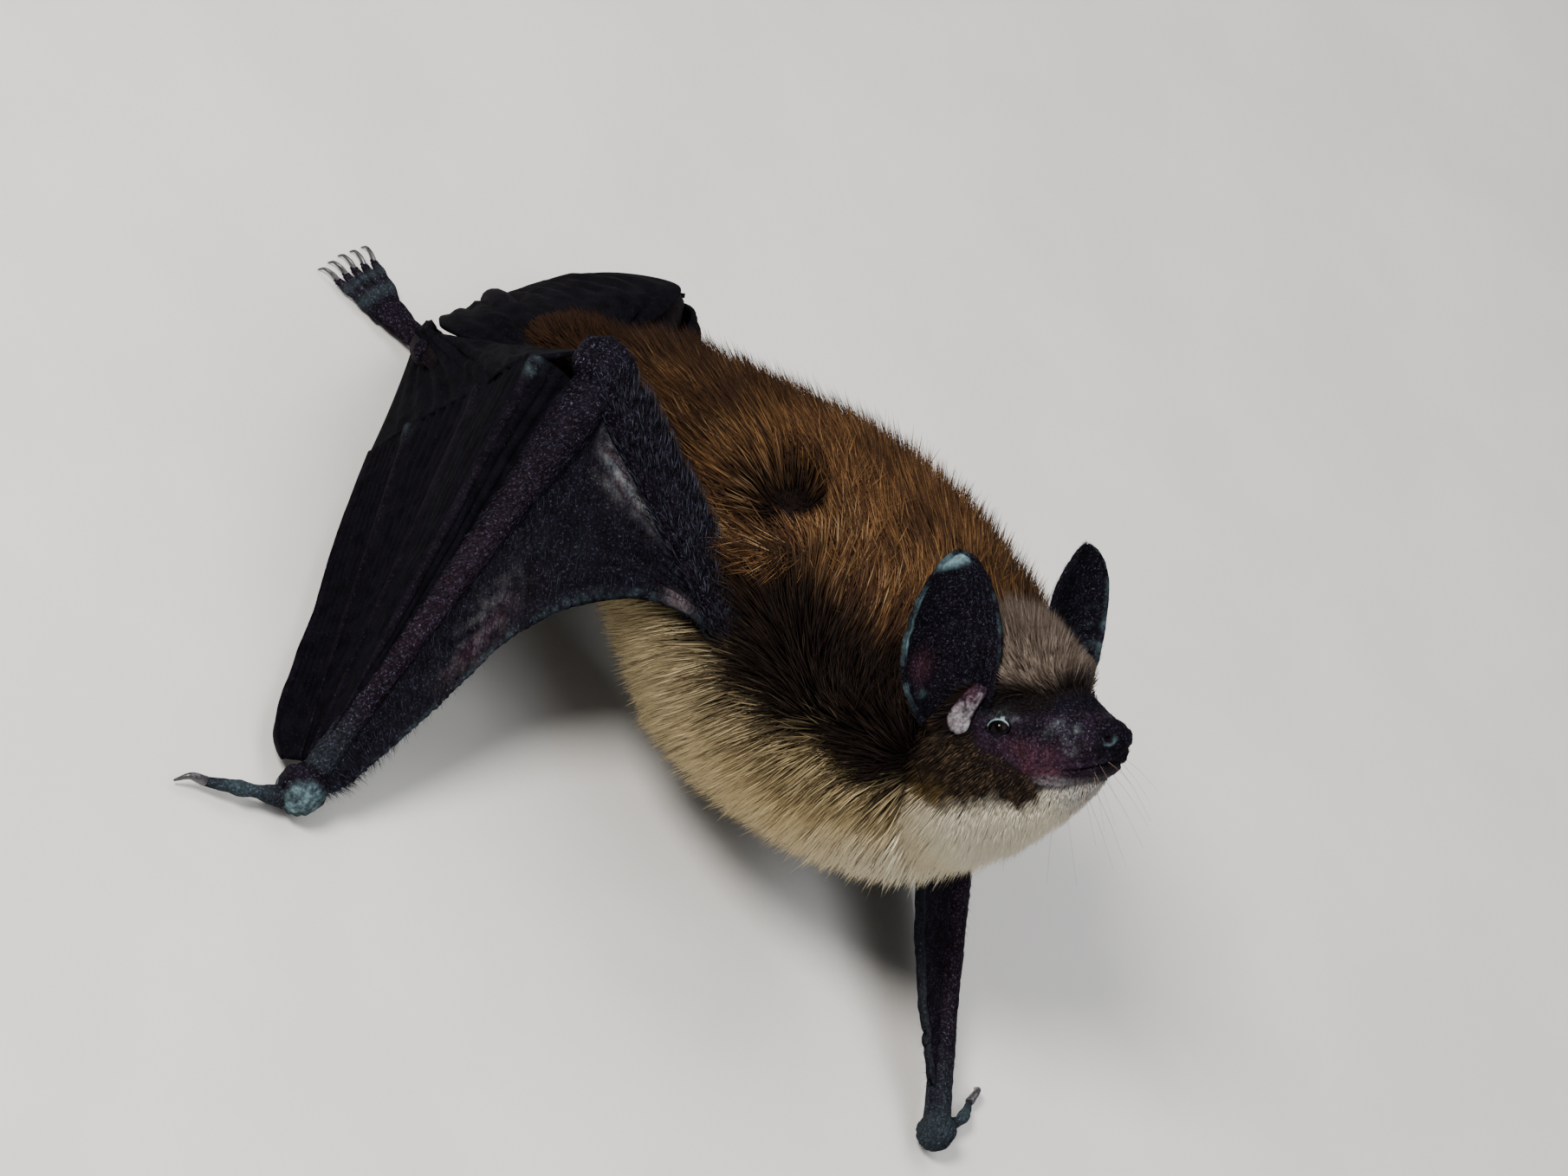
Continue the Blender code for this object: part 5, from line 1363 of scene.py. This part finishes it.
white = mix(white, v(0.42, 0.41, 0.42), ramp(X, -6.0, -3.5) * 0.8)
white = mix(white, v(0.25, 0.20, 0.15), 0.34 * u02)
tip_col = mix(tip_col, white, throat)
# the few hairs of the bare face are dark
bare_at = bare_w[np.minimum(ri.astype(int), len(bare_w) - 1), ci.astype(int) % bare_w.shape[1]]
tip_col = mix(tip_col, v(0.018, 0.014, 0.018), ramp(bare_at, 0.35, 0.75))
root_col = mix(v(0.007, 0.005, 0.0045), v(0.018, 0.013, 0.011), u01)
dark_to = 0.46 - 0.20 * throat
coat.add(c=centres, nrm=nrm_w, lie=lie_w, width=width, root=root_col, tip=tip_col, dark=dark_to, u=0.66 + 0.32 * (X + 16.5) / 16.5, w=0.02 + 0.96 * TH / 360.0, kind=np.ones(n_head, int))


# ---- sparse hair on the arms and webs, and the rows of down inside the ears
def down(g, nrm, count, weight, lie_of, length, width, rise, root_col, tip_col, rng, u0, w0, lift=0.0, kind=3):
    """Sparse hair over a grid: where it grows, which way it lies, and its colours."""
    m, n = g.shape[:2]
    w = np.asarray(weight(np.linspace(0, 1, m)[:, None], np.linspace(0, 1, n)[None, :])) + np.zeros((m, n))
    cum = np.cumsum(w.reshape(-1))
    pick = np.searchsorted(cum / cum[-1], rng.random(count))
    i = np.clip(pick // n + rng.random(count) - 0.5, 0, m - 1.001)
    j = np.clip(pick % n + rng.random(count) - 0.5, 0, n - 1.001)
    i0, j0 = i.astype(int), j.astype(int)
    fi, fj = (i - i0)[:, None], (j - j0)[:, None]
    f = lambda a: a[i0, j0] * (1 - fi) * (1 - fj) + a[i0 + 1, j0] * fi * (1 - fj) + a[i0, j0 + 1] * (1 - fi) * fj + a[i0 + 1, j0 + 1] * fi * fj
    p, q = f(g), unit(f(nrm))
    di, dj = f(np.gradient(g, axis=0)), f(np.gradient(g, axis=1))
    V = lie_of(i / (m - 1), j / (n - 1), unit(di), unit(dj)) + 0.22 * rng.normal(size=p.shape)
    lie = unit(V - q * (V * q).sum(-1, keepdims=True))
    L = rng.uniform(*length, count)
    r0, r1 = np.radians(rng.normal(rise[0], 6, count)), np.radians(rng.normal(rise[1], 5, count))
    ts = (0.0, 0.36, 0.72, 1.0)
    c = np.stack([bend(p + q * lift, q, lie, L, r0, r1, t) for t in ts], 1)
    k = rng.random(count)[:, None]
    # a few hairs get much brighter tips: painted glints on the fine hair
    coat.add(c=c, nrm=q, lie=lie, width=rng.uniform(*width, count), root=np.asarray(root_col, float) * (0.7 + 0.6 * k), tip=np.asarray(tip_col, float) * (0.25 + 2.4 * k ** 4),
             dark=np.full(count, 0.1), u=u0 + 0.10 * j / (n - 1), w=w0 + 0.2 * i / (m - 1), kind=np.full(count, kind))


def along(a, b):
    return lambda i, j, di, dj: di * a + dj * b


# forearm and upper arm: rows run from the shoulder or elbow outwards
for side in ("right", "left"):
    k = 1.0 if side == "right" else 0.35
    g, q = LIMB["forearm_" + side]
    down(g, q, int(3000 * k * SCALE), lambda i, j: 1.0 - 0.75 * ramp(i, 0.35, 0.9), along(1.0, 0.6), (0.4, 0.95), (0.020, 0.034), (22, 6), (0.003, 0.003, 0.005), (0.042, 0.045, 0.072), rng, 0.02, 0.02)
    g, q = LIMB["upper_arm_" + side]
    down(g, q, int(4200 * k * SCALE), lambda i, j: 1.0 + 0 * i, along(1.0, 0.4), (0.7, 1.5), (0.030, 0.052), (34, 8), (0.0016, 0.0016, 0.0026), (0.024, 0.026, 0.038), rng, 0.14, 0.02, kind=2)
for side, grid in (("right", PRO_RG), ("left", PRO_LG)):
    k = 1.0 if side == "right" else 0.4
    n = grid_normals(grid)
    for s in (1, -1):
        down(grid, n * s, int(3000 * k * SCALE), lambda i, j: (0.35 + 0.6 * ramp(j, 0.72, 0.88)) * (j < 0.92), along(0.06, 1.0), (0.45, 1.30), (0.026, 0.044), (7, 1), (0.003, 0.003, 0.006), (0.036, 0.040, 0.064), rng, 0.26, 0.02, 0.15)
# rows of tiny hairs inside the ears, and short hair on their backs
for side in ("right", "left"):
    g, n, s, j = EARS[side]
    down(g, n, int(1700 * SCALE), lambda i, j: (np.sin(j * 80 - 22.0 * i + 9.0 * i * i) > 0.35) * (0.15 + ramp(j, 0.35, 0.9)) * ramp(i, 0.05, 0.2) * (1 - ramp(i, 0.84, 0.92)), along(0.8, 0.2), (0.07, 0.17), (0.026, 0.040), (30, 12), (0.006, 0.006, 0.010), (0.055, 0.058, 0.092), rng, 0.40, 0.02, 0.12)
    down(g, -n, int(2600 * SCALE), lambda i, j: 1.0 - 0.8 * ramp(i, 0.1, 0.6), along(0.9, 0.0), (0.25, 0.7), (0.026, 0.045), (25, 10), (0.008, 0.006, 0.0055), (0.040, 0.028, 0.022), rng, 0.52, 0.02, 0.12)
for grid, k in ((HAND_R, 1.0), (HAND_L, 0.3)):
    n = grid_normals(grid)
    n = n if n[..., 2].mean() > 0 else -n
    down(grid, n, int(900 * k * SCALE), lambda i, j: 0.15 + ramp(j, 0.6, 1.0) + 0 * i, along(1.0, 0.3), (0.15, 0.35), (0.018, 0.028), (12, 5), (0.006, 0.006, 0.010), (0.030, 0.032, 0.052), rng, 0.64, 0.02, 0.17)


def clear_of_bare(r):
    """Tufts that would run into an arm, web or ear are shortened or left out, and so are those rooted inside another part."""
    c, kind = r["c"], r["kind"]
    keep = np.ones(len(c), bool)
    if kind[0] >= 2:
        return r
    scale = np.ones(len(c))
    other = HEAD_TREE if kind[0] == 0 else TRUNK_TREE
    for i in range(len(c)):
        a = c[i, 0]
        d = c[i, 3] - a
        L = float(np.linalg.norm(d))
        hit = BARE_TREE.ray_cast(a, d / L, L * 1.05)
        if hit[0] is not None and hit[1].dot(mathutils.Vector(d)) > 0:
            keep[i] = False
            continue
        if hit[0] is not None:
            scale[i] = (hit[3] - 0.05) / L
        else:
            m = c[i, 2] - a
            Lm = float(np.linalg.norm(m))
            hit = BARE_TREE.ray_cast(a, m / Lm, Lm)
            if hit[0] is not None:
                scale[i] = (hit[3] - 0.05) / L
        if scale[i] < 0.30:
            keep[i] = False
            continue
        q = other.find_nearest(a, 4.0)
        if q[0] is not None and (mathutils.Vector(a) - q[0]).dot(q[1]) < -0.25:
            keep[i] = False
    c = c[:, :1] + (c - c[:, :1]) * np.minimum(scale, 1.0)[:, None, None]
    out = {k: (x[keep] if len(x) == len(keep) else x) for k, x in r.items()}
    out["c"] = c[keep]
    return out


def hair_mesh(name, r, pick, slim):
    """One joined mesh of tufts, each a closed three-sided lock that narrows to its tip."""
    c = r["c"][pick]
    side = np.cross(r["lie"][pick], r["nrm"][pick])
    up = r["nrm"][pick]
    w = r["width"][pick]
    if slim == 2:
        st = [c[:, 0], c[:, 3]]
        ts, ws = [0.0, 1.0], [1.0]
    else:
        st = [c[:, 0], 0.45 * c[:, 1] + 0.55 * c[:, 2], c[:, 3]]
        ts, ws = [0.0, 0.58, 1.0], [0.9, 0.95]
    n, k = len(c), len(ws)
    rows = []
    for q in range(k):
        h = (0.5 * w * ws[q])[:, None]
        rows += [st[q] - side * h, st[q] + side * h, st[q] + up * h * 0.8]
    rows.append(st[-1])
    per = 3 * k + 1
    vert = np.stack(rows, 1).reshape(-1, 3)
    tri = [(0, 2, 1)]
    for q in range(k - 1):
        for a in range(3):
            b = (a + 1) % 3
            A, B, C, D = 3 * q + a, 3 * q + b, 3 * (q + 1) + b, 3 * (q + 1) + a
            tri += [(A, B, C), (A, C, D)]
    for a in range(3):
        tri.append((3 * (k - 1) + a, 3 * (k - 1) + (a + 1) % 3, per - 1))
    tri = np.array(tri)
    face = (tri[None] + (np.arange(n) * per)[:, None, None]).reshape(-1, 3)
    mesh = bpy.data.meshes.new(name)
    mesh.vertices.add(len(vert))
    mesh.vertices.foreach_set("co", to_row(vert).astype(np.float32).reshape(-1))
    mesh.loops.add(len(face) * 3)
    mesh.loops.foreach_set("vertex_index", face.astype(np.int32).reshape(-1))
    mesh.polygons.add(len(face))
    mesh.polygons.foreach_set("loop_start", np.arange(0, len(face) * 3, 3, dtype=np.int32))
    mesh.polygons.foreach_set("loop_total", np.full(len(face), 3, np.int32))
    mesh.update(calc_edges=True)
    t = np.concatenate([[ts[q]] * 3 for q in range(k)] + [[1.0]])
    T = np.tile(t, n).reshape(n, per)
    root, tip, dark = r["root"][pick], r["tip"][pick], r["dark"][pick]
    f = ramp(T, dark[:, None] - 0.16, dark[:, None] + 0.26)
    col = root[:, None, :] * (1 - f[..., None]) + tip[:, None, :] * f[..., None]
    rgba = np.concatenate([np.clip(col, 0, 1), np.ones(col.shape[:2] + (1,))], -1)
    a = mesh.attributes.new("tint", "FLOAT_COLOR", "POINT")
    a.data.foreach_set("color", rgba.astype(np.float32).reshape(-1))
    set_mark(mesh, "along", T.reshape(-1))
    # each tuft is a small patch at its root's place on the unwrap
    sx = np.concatenate([[0.0, 1.0, 0.5] for q in range(k)] + [[0.5]])
    U = r["u"][pick][:, None] + 0.003 * (T - 0.5)
    W = r["w"][pick][:, None] + 0.003 * (np.tile(sx, n).reshape(n, per) - 0.5)
    uv = np.stack([U, W], -1).reshape(-1, 2)
    layer = mesh.uv_layers.new(name="OFBake")
    layer.data.foreach_set("uv", uv[face.reshape(-1)].astype(np.float32).reshape(-1))
    mesh.shade_smooth()
    ob = bpy.data.objects.new(name, mesh)
    bpy.context.scene.collection.objects.link(ob)
    return ob


COAT_OBS = []
rows = [clear_of_bare(r) for r in coat.rows]
total = 0
for kind, name, slim, most in ((0, "coat_body", 1, 18500), (1, "coat_head", 1, 18500), (2, "coat_arms", 1, 18500), (3, "coat_fine", 2, 40000)):
    group = [r for r in rows if r["kind"][0] == kind]
    r = {k: np.concatenate([g[k] for g in group]) for k in group[0]}
    order = np.random.default_rng(3).permutation(len(r["c"]))
    parts = max(1, math.ceil(len(order) / most))
    for q in range(parts):
        ob = hair_mesh("%s_%d" % (name, q + 1), r, order[q::parts], slim)
        COAT_OBS.append(ob)
        total += len(ob.data.polygons)
    print(name, len(order), "tufts")
print("coat triangles", total)


# ------------------------------------------------------------------ eyes, claws, whiskers
def solid(name, shapes):
    verts, faces, k = [], [], 0
    for vv, ff in shapes:
        verts += [tuple(p) for p in to_row(vv)]
        faces += [tuple(int(i) + k for i in f) for f in ff]
        k += len(vv)
    ob = raw_object(name, verts, faces)
    bm = bmesh.new()
    bm.from_mesh(ob.data)
    bmesh.ops.recalc_face_normals(bm, faces=bm.faces)
    bm.to_mesh(ob.data)
    bm.free()
    ob.data.shade_smooth()
    return ob


EYES = [solid("eye_ball_" + side, [knob(head_point(BALL_AT * v(1, flip, 1)), v(1, 1, 1) * BALL_R, 48, 30)]) for side, flip in (("right", 1), ("left", -1))]


def spike(pts, radius, n=10, rows=16):
    t = np.linspace(0, 1, rows)
    c = path(pts, t)
    tan, side, top = frames(c, (0.05, 0.02, 1))
    r = curve(radius, t)[:, 0]
    vv, ff = skin(rings(c, side, top, r * 0.75, r, r, n))
    return floor_flat(vv), ff


CLAWS = [solid("thumb_claw_tip_" + side, [spike(ARMS[tag][4], [(0, 0.42), (0.5, 0.30), (1, 0.10)])]) for side, tag in (("right", "R"), ("left", "L"))]
TOE_NAILS = solid("toe_claws", [spike(q, [(0, 0.24), (0.5, 0.17), (1, 0.06)]) for q in TOE_CLAWS])

wr_ = np.random.default_rng(12)
hairs = []
spots = [((-1.5, -0.9, -1.55), (1.0, -0.10, -0.70), 3.4), ((-1.7, -1.1, -1.9), (0.95, -0.30, -1.0), 3.0), ((-2.0, -1.3, -2.3), (0.8, -0.25, -1.2), 3.6),
         ((-2.2, -1.0, -2.8), (0.7, -0.30, -1.1), 3.4), ((-3.0, -1.3, -3.3), (0.45, -0.35, -1.1), 4.2), ((-4.2, -1.6, -3.9), (0.40, -0.30, -1.2), 5.0),
         ((-4.9, -1.7, -4.4), (0.15, -0.35, -1.2), 4.4)]
for flip in (1, -1):
    for p, d, L in spots:
        p, d = v(*p) * v(1, flip, 1), unit(v(*d) * v(1, flip, 1) + 0.10 * wr_.normal(size=3))
        L = L * wr_.uniform(0.85, 1.1)
        droop = v(0, 0, -1) * 0.12 * L
        a, b, c = p - d * 0.3, p + d * 0.5 * L, p + d * L + droop
        t = np.linspace(0, 1, 9)
        cc = path([head_point(a), head_point(b), head_point(c)], t)
        tan, sd, top = frames(cc, HEAD_Z)
        rad = 0.014 * (1 - 0.6 * t)
        hairs.append(skin(rings(cc, sd, top, rad, rad, rad, 5)))
WHISKERS = solid("whiskers", hairs)


# ------------------------------------------------------------------ materials
class Nodes:
    def __init__(self, name):
        self.m = bpy.data.materials.new(name)
        self.m.use_nodes = True
        self.t = self.m.node_tree
        self.b = self.t.nodes["Principled BSDF"]
        co = self.t.nodes.new("ShaderNodeTexCoord")
        mp = self.t.nodes.new("ShaderNodeMapping")
        mp.inputs["Scale"].default_value = (1000, 1000, 1000)
        self.t.links.new(co.outputs["Object"], mp.inputs["Vector"])
        self.p = mp.outputs["Vector"]

    def put(self, value, socket):
        if hasattr(value, "links") or isinstance(value, bpy.types.NodeSocket):
            self.t.links.new(value, socket)
        elif isinstance(value, (tuple, list)):
            socket.default_value = (*value, 1.0) if len(value) == 3 and len(socket.default_value) == 4 else value
        else:
            socket.default_value = value

    def attr(self, name, colour=False):
        n = self.t.nodes.new("ShaderNodeAttribute")
        n.attribute_name = name
        return n.outputs["Color" if colour else "Fac"]

    def noise(self, scale, detail=4.0, rough=0.55, stretch=None, distort=0.0):
        n = self.t.nodes.new("ShaderNodeTexNoise")
        n.inputs["Scale"].default_value = scale
        n.inputs["Detail"].default_value = detail
        n.inputs["Roughness"].default_value = rough
        n.inputs["Distortion"].default_value = distort
        self.put(self.scaled(stretch), n.inputs["Vector"])
        return n.outputs["Fac"]

    def scaled(self, stretch):
        if stretch is None:
            return self.p
        mp = self.t.nodes.new("ShaderNodeMapping")
        mp.inputs["Scale"].default_value = stretch
        self.t.links.new(self.p, mp.inputs["Vector"])
        return mp.outputs["Vector"]

    def cells(self, scale, feature="F1", stretch=None, out="Distance"):
        n = self.t.nodes.new("ShaderNodeTexVoronoi")
        n.feature = feature
        n.inputs["Scale"].default_value = scale
        self.put(self.scaled(stretch), n.inputs["Vector"])
        return n.outputs[out]

    def math(self, op, a, b=0.5, clamp=False):
        n = self.t.nodes.new("ShaderNodeMath")
        n.operation = op
        n.use_clamp = clamp
        self.put(a, n.inputs[0])
        self.put(b, n.inputs[1])
        return n.outputs[0]

    def ramp(self, x, a, b, lo=0.0, hi=1.0):
        n = self.t.nodes.new("ShaderNodeMapRange")
        n.interpolation_type = "SMOOTHSTEP"
        self.put(x, n.inputs["Value"])
        n.inputs["From Min"].default_value = a
        n.inputs["From Max"].default_value = b
        n.inputs["To Min"].default_value = lo
        n.inputs["To Max"].default_value = hi
        return n.outputs["Result"]

    def mix(self, f, a, b, mode="MIX"):
        n = self.t.nodes.new("ShaderNodeMix")
        n.data_type = "RGBA"
        n.blend_type = mode
        self.put(f, n.inputs["Factor"])
        self.put(a, n.inputs[6])
        self.put(b, n.inputs[7])
        return n.outputs[2]

    def bump(self, height, strength, distance, normal=None):
        n = self.t.nodes.new("ShaderNodeBump")
        n.inputs["Strength"].default_value = strength
        n.inputs["Distance"].default_value = distance
        self.put(height, n.inputs["Height"])
        if normal is not None:
            self.t.links.new(normal, n.inputs["Normal"])
        return n.outputs["Normal"]

    def set(self, **k):
        for name, value in k.items():
            self.put(value, self.b.inputs[name.replace("_", " ")])
        return self.m


def skin_material():
    n = Nodes("bat_skin")
    pale, rose, coat_, web, blu, ash = (n.attr(q) for q in ("pale", "rose", "coat", "web", "bluish", "ash"))
    broad, fine, tiny = n.noise(0.9, 5), n.noise(5.5, 5, 0.62), n.noise(11.0, 3, 0.6)
    grain = n.cells(5.5)
    base = n.mix(n.ramp(broad, 0.35, 0.65), (0.0075, 0.0042, 0.0078), (0.0165, 0.0090, 0.0170))
    base = n.mix(n.ramp(fine, 0.42, 0.62), n.mix(1.0, base, (0.45, 0.45, 0.45), "MULTIPLY"), base)
    base = n.mix(web, base, n.mix(n.ramp(broad, 0.3, 0.7), (0.0016, 0.0014, 0.0021), (0.0034, 0.0029, 0.0048)))
    # bluish specks where the bluish mark is high: painted glints on the bare skin
    blue_glint_speck = n.math("MULTIPLY", n.math("MULTIPLY", n.ramp(fine, 0.50, 0.68), n.ramp(tiny, 0.46, 0.60), True), n.math("MULTIPLY", blu, n.ramp(grain, 0.25, 0.55, 1.0, 0.3)), True)
    base = n.mix(blue_glint_speck, base, (0.080, 0.082, 0.130))
    base = n.mix(n.math("MULTIPLY", rose, n.ramp(fine, 0.30, 0.70, 0.20, 1.0), True), base, (0.135, 0.046, 0.066))
    # pale teal: pale dry skin, and painted highlights on rims, tips, knobs and knuckles
    base = n.mix(n.math("MULTIPLY", pale, n.ramp(fine, 0.25, 0.7, 0.40, 1.0), True), base, (0.215, 0.350, 0.380))
    # ash grey: the paler chin and tragus, and painted highlights on the face, the lids and the front web
    base = n.mix(n.math("MULTIPLY", ash, n.ramp(fine, 0.30, 0.66, 0.35, 1.0), True), base, (0.36, 0.335, 0.345))
    base = n.mix(coat_, base, (0.0060, 0.0040, 0.0034))
    rough = n.math("ADD", n.ramp(fine, 0.3, 0.7, 0.42, 0.60), n.math("MULTIPLY", web, 0.32), True)
    h = n.math("ADD", n.math("MULTIPLY", grain, 0.5), n.math("MULTIPLY", fine, 0.7))
    nb = n.bump(h, 0.55, 0.00006)
    nb = n.bump(n.noise(2.0, 6, 0.6, None, 0.4), 0.45, 0.00022, nb)
    return n.set(Base_Color=base, Roughness=rough, Specular_IOR_Level=0.02, Normal=nb)


def hair_material(name, rough, spec):
    n = Nodes(name)
    tint = n.attr("tint", True)
    along_ = n.attr("along")
    var = n.noise(3.0, 3)
    col = n.mix(n.ramp(var, 0.3, 0.7, 0.0, 0.35), tint, n.mix(1.0, tint, (1.3, 1.2, 1.1), "MULTIPLY"))
    col = n.mix(n.ramp(n.noise(9.0, 2), 0.55, 0.75, 0.0, 0.35), col, n.mix(1.0, col, (0.55, 0.5, 0.48), "MULTIPLY"))
    return n.set(Base_Color=col, Roughness=n.ramp(along_, 0.0, 1.0, rough + 0.15, rough), Specular_IOR_Level=spec)


def eye_material():
    n = Nodes("bat_eye")
    col = n.mix(n.ramp(n.noise(1.6, 3), 0.4, 0.6), (0.0012, 0.0009, 0.0009), (0.0045, 0.0028, 0.0024))
    return n.set(Base_Color=col, Roughness=n.ramp(n.noise(3.0, 2), 0.3, 0.7, 0.03, 0.06), Specular_IOR_Level=0.07)


def claw_material():
    n = Nodes("bat_claw")
    streak_ = n.noise(6.0, 4, 0.6, (0.4, 1.0, 1.0))
    col = n.mix(n.ramp(streak_, 0.35, 0.65), (0.012, 0.011, 0.014), (0.060, 0.055, 0.060))
    return n.set(Base_Color=col, Roughness=n.ramp(streak_, 0.3, 0.7, 0.28, 0.42), Normal=n.bump(streak_, 0.3, 0.00003))


def whisker_material():
    n = Nodes("bat_whisker")
    col = n.mix(n.ramp(n.noise(1.2, 3), 0.35, 0.65), (0.085, 0.056, 0.040), (0.19, 0.130, 0.088))
    return n.set(Base_Color=col, Roughness=0.45)


def floor_material():
    n = Nodes("studio_floor")
    col = n.mix(n.ramp(n.noise(0.05, 4), 0.35, 0.65), (0.66, 0.64, 0.61), (0.70, 0.685, 0.655))
    return n.set(Base_Color=col, Roughness=0.85, Normal=n.bump(n.noise(1.5, 4), 0.08, 0.0002))


def paint(ob, material):
    ob.data.materials.clear()
    ob.data.materials.append(material)


paint(skin_ob, skin_material())
fur, finefur = hair_material("bat_fur", 0.55, 0.05), hair_material("bat_down", 0.45, 0.05)
for ob in COAT_OBS:
    paint(ob, finefur if ob.name.startswith(("coat_fine", "coat_arms")) else fur)
eye_mat, claw_mat = eye_material(), claw_material()
for ob in EYES:
    paint(ob, eye_mat)
for ob in CLAWS + [TOE_NAILS]:
    paint(ob, claw_mat)
paint(WHISKERS, whisker_material())

# ------------------------------------------------------------------ onto the frame
FLESH = [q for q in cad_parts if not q.startswith(("eye_", "thumb_claw_"))]
for ob in [skin_ob] + COAT_OBS + EYES + CLAWS + [TOE_NAILS, WHISKERS]:
    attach(ob, "root")
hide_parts(*FLESH)
for ob, side in zip(EYES, ("right", "left")):
    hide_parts("eye_" + side)
for ob, side in zip(CLAWS, ("right", "left")):
    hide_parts("thumb_claw_" + side)
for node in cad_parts.values():
    base = node.name
    paint(node, eye_mat if base.startswith("eye_") else claw_mat if base.startswith("thumb_claw_") else skin_ob.data.materials[0])

# ------------------------------------------------------------------ floor, light, camera
bpy.ops.mesh.primitive_plane_add(size=3.0, location=(0, 0, 0))
floor = bpy.context.object
floor.name = "floor"
paint(floor, floor_material())

RT, UP, BK = unit(v(0.518, 0.580, 0.629)), unit(v(-0.843, 0.219, 0.492)), unit(v(0.147, -0.785, 0.602))
RT = unit(RT - BK * (RT @ BK))
UP = np.cross(BK, RT)
eye_at = to_row(v(68.04, -271.19, 226.20))
cam = bpy.data.cameras.new("camera")
cam.lens = 6039.0 / 1810.0 * 36.0
cam.sensor_width = 36.0
cam.clip_start, cam.clip_end = 0.01, 10.0
cam_ob = bpy.data.objects.new("camera", cam)
bpy.context.scene.collection.objects.link(cam_ob)
cam_ob.matrix_world = mathutils.Matrix([[RT[0], UP[0], BK[0], eye_at[0]], [RT[1], UP[1], BK[1], eye_at[1]], [RT[2], UP[2], BK[2], eye_at[2]], [0, 0, 0, 1]])
bpy.context.scene.camera = cam_ob

middle = to_row(v(18, -4, 16))


def lamp(name, direction, reach, size, power, colour=(1, 1, 1)):
    d = unit(direction)
    li = bpy.data.lights.new(name, "AREA")
    li.shape = "DISK"
    li.size = size
    li.energy = power
    li.color = colour
    ob = bpy.data.objects.new(name, li)
    bpy.context.scene.collection.objects.link(ob)
    at = mathutils.Vector(middle + d * reach)
    ob.location = at
    ob.rotation_euler = mathutils.Vector(d).to_track_quat("Z", "Y").to_euler()


lamp("key", BK + 0.42 * UP - 0.12 * RT, 0.42, 0.11, 2.9, (1.0, 0.97, 0.93))
lamp("fill", BK + 0.75 * RT + 0.1 * UP, 0.50, 0.35, 0.9, (0.93, 0.96, 1.0))
lamp("top", v(-0.2, 0.25, 1.0), 0.50, 0.35, 1.3)
world = bpy.data.worlds.new("studio")
world.use_nodes = True
world.node_tree.nodes["Background"].inputs["Color"].default_value = (0.92, 0.95, 1.0, 1.0)
world.node_tree.nodes["Background"].inputs["Strength"].default_value = 0.30
bpy.context.scene.world = world
